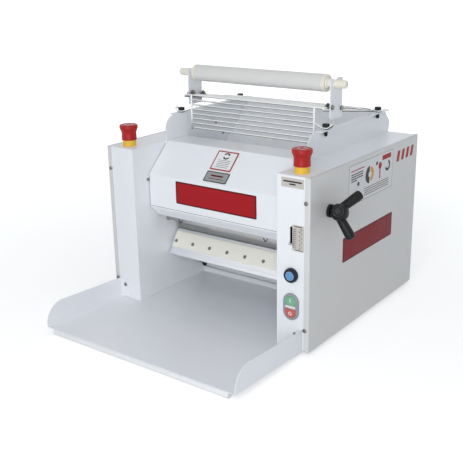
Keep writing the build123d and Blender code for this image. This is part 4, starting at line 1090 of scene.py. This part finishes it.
def make_hood_labels():
    """The red plate on the hood's front, and the note and the grey plate on its slope."""
    width, height = FRONT_PLATE
    label(
        "front_plate",
        "front",
        (-1.75, HOOD_Y, 288),
        [
            ([rectangle(width, height, 3)], 0, 0.25, "print_maroon"),
            ([rectangle(width - 7, height - 7, 2)], 0.2, 0.2, "print_red"),
        ],
    )
    rise = Vector((0, HOOD_SLOPE_RUN, HOOD_BEND_DROP)).normalized()
    away = Vector((0, -HOOD_BEND_DROP, HOOD_SLOPE_RUN)).normalized()
    slope = facing_along(away)
    foot = Vector((0, HOOD_Y - 0.3, TOP - HOOD_BEND_DROP + 0.6)) + away * 0.25

    def on_slope(x, y):
        return Vector((x, 0, 0)) + foot + rise * (y - HOOD_Y) / rise.y

    lines = [rectangle(34, 1.6, 0.4, 0, 1 - 4.6 * number) for number in range(5)]
    badge = [shifted(sector(9, 5.4, start, start + 140, 16), 0, 13) for start in (200, 20)]
    label(
        "slope_note",
        slope,
        on_slope(-8, 99),
        [
            ([rectangle(58, 52, 2)], 0, 0.2, "print_red"),
            ([rectangle(52, 46, 1.5)], 0.15, 0.15, "print_white"),
            (lines, 0.25, 0.12, "print_grey"),
            (badge, 0.25, 0.12, "print_ink"),
        ],
    )
    label(
        "slope_plate",
        slope,
        on_slope(-7, 66.5),
        [
            ([rectangle(64, 28, 2)], 0, 0.2, "print_ink"),
            ([rectangle(59, 23.5, 1.5)], 0.15, 0.15, "print_grey"),
            ([rectangle(34, 4, 0.5, 0, 3), rectangle(40, 1.4, 0.4, 0, -5)], 0.25, 0.12, "print_maroon"),
        ],
    )


make_hood_labels()


STOP_NOTE_PLACE = (237.5, -0.02, 374)
SCALE_MARKS = 10
FIGURE_SIZE, FIGURE_DEPTH = 0.0066, 0.00006  # metres, as Blender's own text is


def make_column_labels():
    """The note under the right emergency stop, and the gap scale's ticks and plain numbers."""
    bars = [rectangle(44, 3.4, 0.8, 0, 2.4), rectangle(15, 3.2, 0.8, 0, -3.0)]
    label(
        "stop_note",
        "front",
        STOP_NOTE_PLACE,
        [([rectangle(53.5, 20, 1)], 0, 0.2, "print_sand"), (bars, 0.15, 0.12, "print_ink")],
    )
    low, high = drawn_box("gap_scale_plate")
    middle = (low + high) / 2
    width, height = high.x - low.x, high.z - low.z
    pitch = (height - 16) / (SCALE_MARKS - 1)
    rises = [-height / 2 + 7 + number * pitch for number in range(SCALE_MARKS)]
    ticks = [rectangle(8, 1.0, 0, -width / 2 + 6, rise) for rise in rises]
    minor = [rectangle(4.5, 0.7, 0, -width / 2 + 4.4, rise + pitch / 2) for rise in rises[:-1]]
    heads = [rectangle(18, 1.8, 0.4, 1, height / 2 - 2.8), rectangle(18, 1.4, 0.4, 2, -height / 2 + 2.6)]
    label(
        "gap_scale",
        "front",
        (middle.x, low.y, middle.z),
        [(ticks + heads, 0, 0.12, "print_ink"), (minor, 0, 0.1, "print_ink_soft")],
    )
    for number, rise in enumerate(rises):
        name = "gap_number_" + str(number)
        text = bpy.data.curves.new(name, "FONT")
        text.body = str(number)
        text.size = FIGURE_SIZE
        text.extrude = FIGURE_DEPTH
        text.align_x = "CENTER"
        text.align_y = "CENTER"
        figure = new_object("figure", text)
        bm = shape_from(evaluated_mesh(figure))
        bpy.data.objects.remove(figure)
        bm.transform(Matrix.Scale(1000, 4))
        place = (middle.x + 4.5 + 3.6 * (number % 2), low.y - 0.08, middle.z + rise)
        piece(name, set_down(bm, "front", place), "print_ink", sharp=30)


make_column_labels()


SIDE_PLATE_PLACE = (OUTER, 255.5, 196.5)
SIDE_STROKES_PLACE = (OUTER, 392, 356)
SIDE_NOTE_PLACE = (OUTER, 261, 335)


def make_side_labels():
    """The red plate, four slanted strokes and the note with its plain dials on the right side cover."""
    label(
        "side_plate",
        "right",
        SIDE_PLATE_PLACE,
        [
            ([rectangle(237, 57, 3)], 0, 0.25, "print_maroon"),
            ([rectangle(230, 50, 2)], 0.2, 0.2, "print_crimson"),
        ],
    )
    strokes = [rectangle(13, 25, 1, 24.5 * number, 0, lean=6) for number in range(4)]
    label("side_strokes", "right", SIDE_STROKES_PLACE, [(strokes, 0, 0.15, "print_red")])
    width, height = 208, 88
    frame_lines = [
        rectangle(width, 1.0, 0, 0, height / 2),
        rectangle(width, 1.0, 0, 0, -height / 2),
        rectangle(1.0, height, 0, -width / 2, 0),
        rectangle(1.0, height, 0, width / 2, 0),
    ]
    dark = [rectangle(54, 2.4, 0.4, -68, 23 - 5 * row) for row in range(3)]
    dark += [rectangle(26, 2.4, 0.4, -82, 8), disc(5, 20, -62, -2), disc(4.5, 20, 24, 26)]
    soft = [rectangle(120, 2.2, 0.4, 26, -20 - 5 * row) for row in range(4)]
    dial = [shifted(sector(20, 6, 92, 268), -10, 8), shifted(sector(13, 7, 200, 430), 78, 11)]
    amber = [shifted(sector(17, 8, -82, 82), -8, 8)]
    red = [rectangle(60, 2.2, 0.5, -66, 31), disc(8, 24, 40, 18), rectangle(5, 24, 1, 40, 0)]
    red += [rectangle(44, 11, 1.2, 72, 33)]
    label(
        "side_note",
        "right",
        SIDE_NOTE_PLACE,
        [
            ([rectangle(width, height, 1.5)], 0, 0.12, "print_pale"),
            (frame_lines, 0.1, 0.08, "print_ink_soft"),
            (dark + dial, 0.1, 0.1, "print_ink"),
            (soft, 0.1, 0.09, "print_ink_soft"),
            (red, 0.1, 0.1, "print_red"),
            (amber, 0.1, 0.11, "print_amber"),
        ],
    )


make_side_labels()


# ------------------------------------------------------------------ floor, light and background
def seen_directly(tree):
    """1 for camera, gloss and glass rays, 0 for the rays that carry light."""
    path = tree.nodes.new("ShaderNodeLightPath")
    seen = path.outputs["Is Camera Ray"]
    for ray in ("Is Glossy Ray", "Is Transmission Ray"):
        either = tree.nodes.new("ShaderNodeMath")
        either.operation = "MAXIMUM"
        tree.links.new(seen, either.inputs[0])
        tree.links.new(path.outputs[ray], either.inputs[1])
        seen = either.outputs[0]
    return seen


FLOOR_RADIUS = 60.0
FLOOR_DROP = 0.0002
FADE_REACH = (0.55, 2.6)  # where the floor's own light starts and stops growing, in metres
FADE_LIGHT = (0.46, 0.86)


def make_stage():
    """A pale floor that fades into the white background, and keeps the machine's shadow."""
    bm = bmesh.new()
    bm.faces.new([bm.verts.new((*place, 0)) for place in disc(FLOOR_RADIUS, 64)])
    mesh = bpy.data.meshes.new("floor")
    bm.to_mesh(mesh)
    bm.free()
    floor = new_object("floor", mesh)
    floor.location.z = -FLOOR_DROP
    s = Shader("floor", (0.80, 0.80, 0.80), 0.9, specular=0.0)
    s.tint(s.ramp(s.noise(3, 3, 0.6), 0.3, 0.7, 0, 1), (0.79, 0.79, 0.795))
    lift = s.node("ShaderNodeEmission")
    lift.inputs["Color"].default_value = (1, 1, 1, 1)
    reach = s.node("ShaderNodeVectorMath", operation="LENGTH")
    s.link(s.place, reach.inputs[0])
    s.link(s.ramp(reach.outputs["Value"], *FADE_REACH, *FADE_LIGHT), lift.inputs["Strength"])
    both = s.node("ShaderNodeAddShader")
    s.link(s.shader.outputs["BSDF"], both.inputs[0])
    s.link(lift.outputs["Emission"], both.inputs[1])
    mixer = s.node("ShaderNodeMixShader")
    s.link(seen_directly(s.tree), mixer.inputs["Fac"])
    s.link(s.shader.outputs["BSDF"], mixer.inputs[1])
    s.link(both.outputs["Shader"], mixer.inputs[2])
    s.link(mixer.outputs["Shader"], s.tree.nodes["Material Output"].inputs["Surface"])
    mesh.materials.append(s.material)


def area_light(name, place, target, size, power, color):
    data = bpy.data.lights.new(name, "AREA")
    data.shape = "RECTANGLE"
    data.size, data.size_y = size
    data.energy = power
    data.color = color
    lamp = new_object(name, data)
    lamp.location = place
    lamp.rotation_euler = (Vector(target) - Vector(place)).to_track_quat("-Z", "Y").to_euler()


ROOM_COLOR = (0.89, 0.945, 1.0, 1)
ROOM_STRENGTH = 0.47
LAMPS = (
    # name, place, target and size in metres, power in watts, colour
    ("key", (0.9, -1.95, 1.1), (0.05, 0, 0.2), (1.3, 1.2), 18.5, (1, 1, 1)),
    ("low", (0.9, -1.9, 0.35), (-0.2, 0, 0.15), (0.7, 0.5), 5, (0.92, 0.97, 1.0)),
    ("top", (0.2, 0.4, 2.8), (0, 0, 0.2), (2.2, 2.2), 6, (1.0, 0.95, 0.86)),
)


def make_world():
    """A soft pale-blue room for the light, plain white where the camera, gloss or glass sees it."""
    world = bpy.data.worlds.new("world")
    bpy.context.scene.world = world
    world.use_nodes = True
    tree = world.node_tree
    background = tree.nodes["Background"]
    background.inputs["Color"].default_value = ROOM_COLOR
    background.inputs["Strength"].default_value = ROOM_STRENGTH
    white = tree.nodes.new("ShaderNodeBackground")
    white.inputs["Color"].default_value = (1, 1, 1, 1)
    white.inputs["Strength"].default_value = 1.0
    mixer = tree.nodes.new("ShaderNodeMixShader")
    tree.links.new(seen_directly(tree), mixer.inputs["Fac"])
    tree.links.new(background.outputs["Background"], mixer.inputs[1])
    tree.links.new(white.outputs["Background"], mixer.inputs[2])
    tree.links.new(mixer.outputs["Shader"], tree.nodes["World Output"].inputs["Surface"])


make_stage()
make_world()
for lamp in LAMPS:
    area_light(*lamp)
bpy.context.scene.view_settings.view_transform = "Standard"
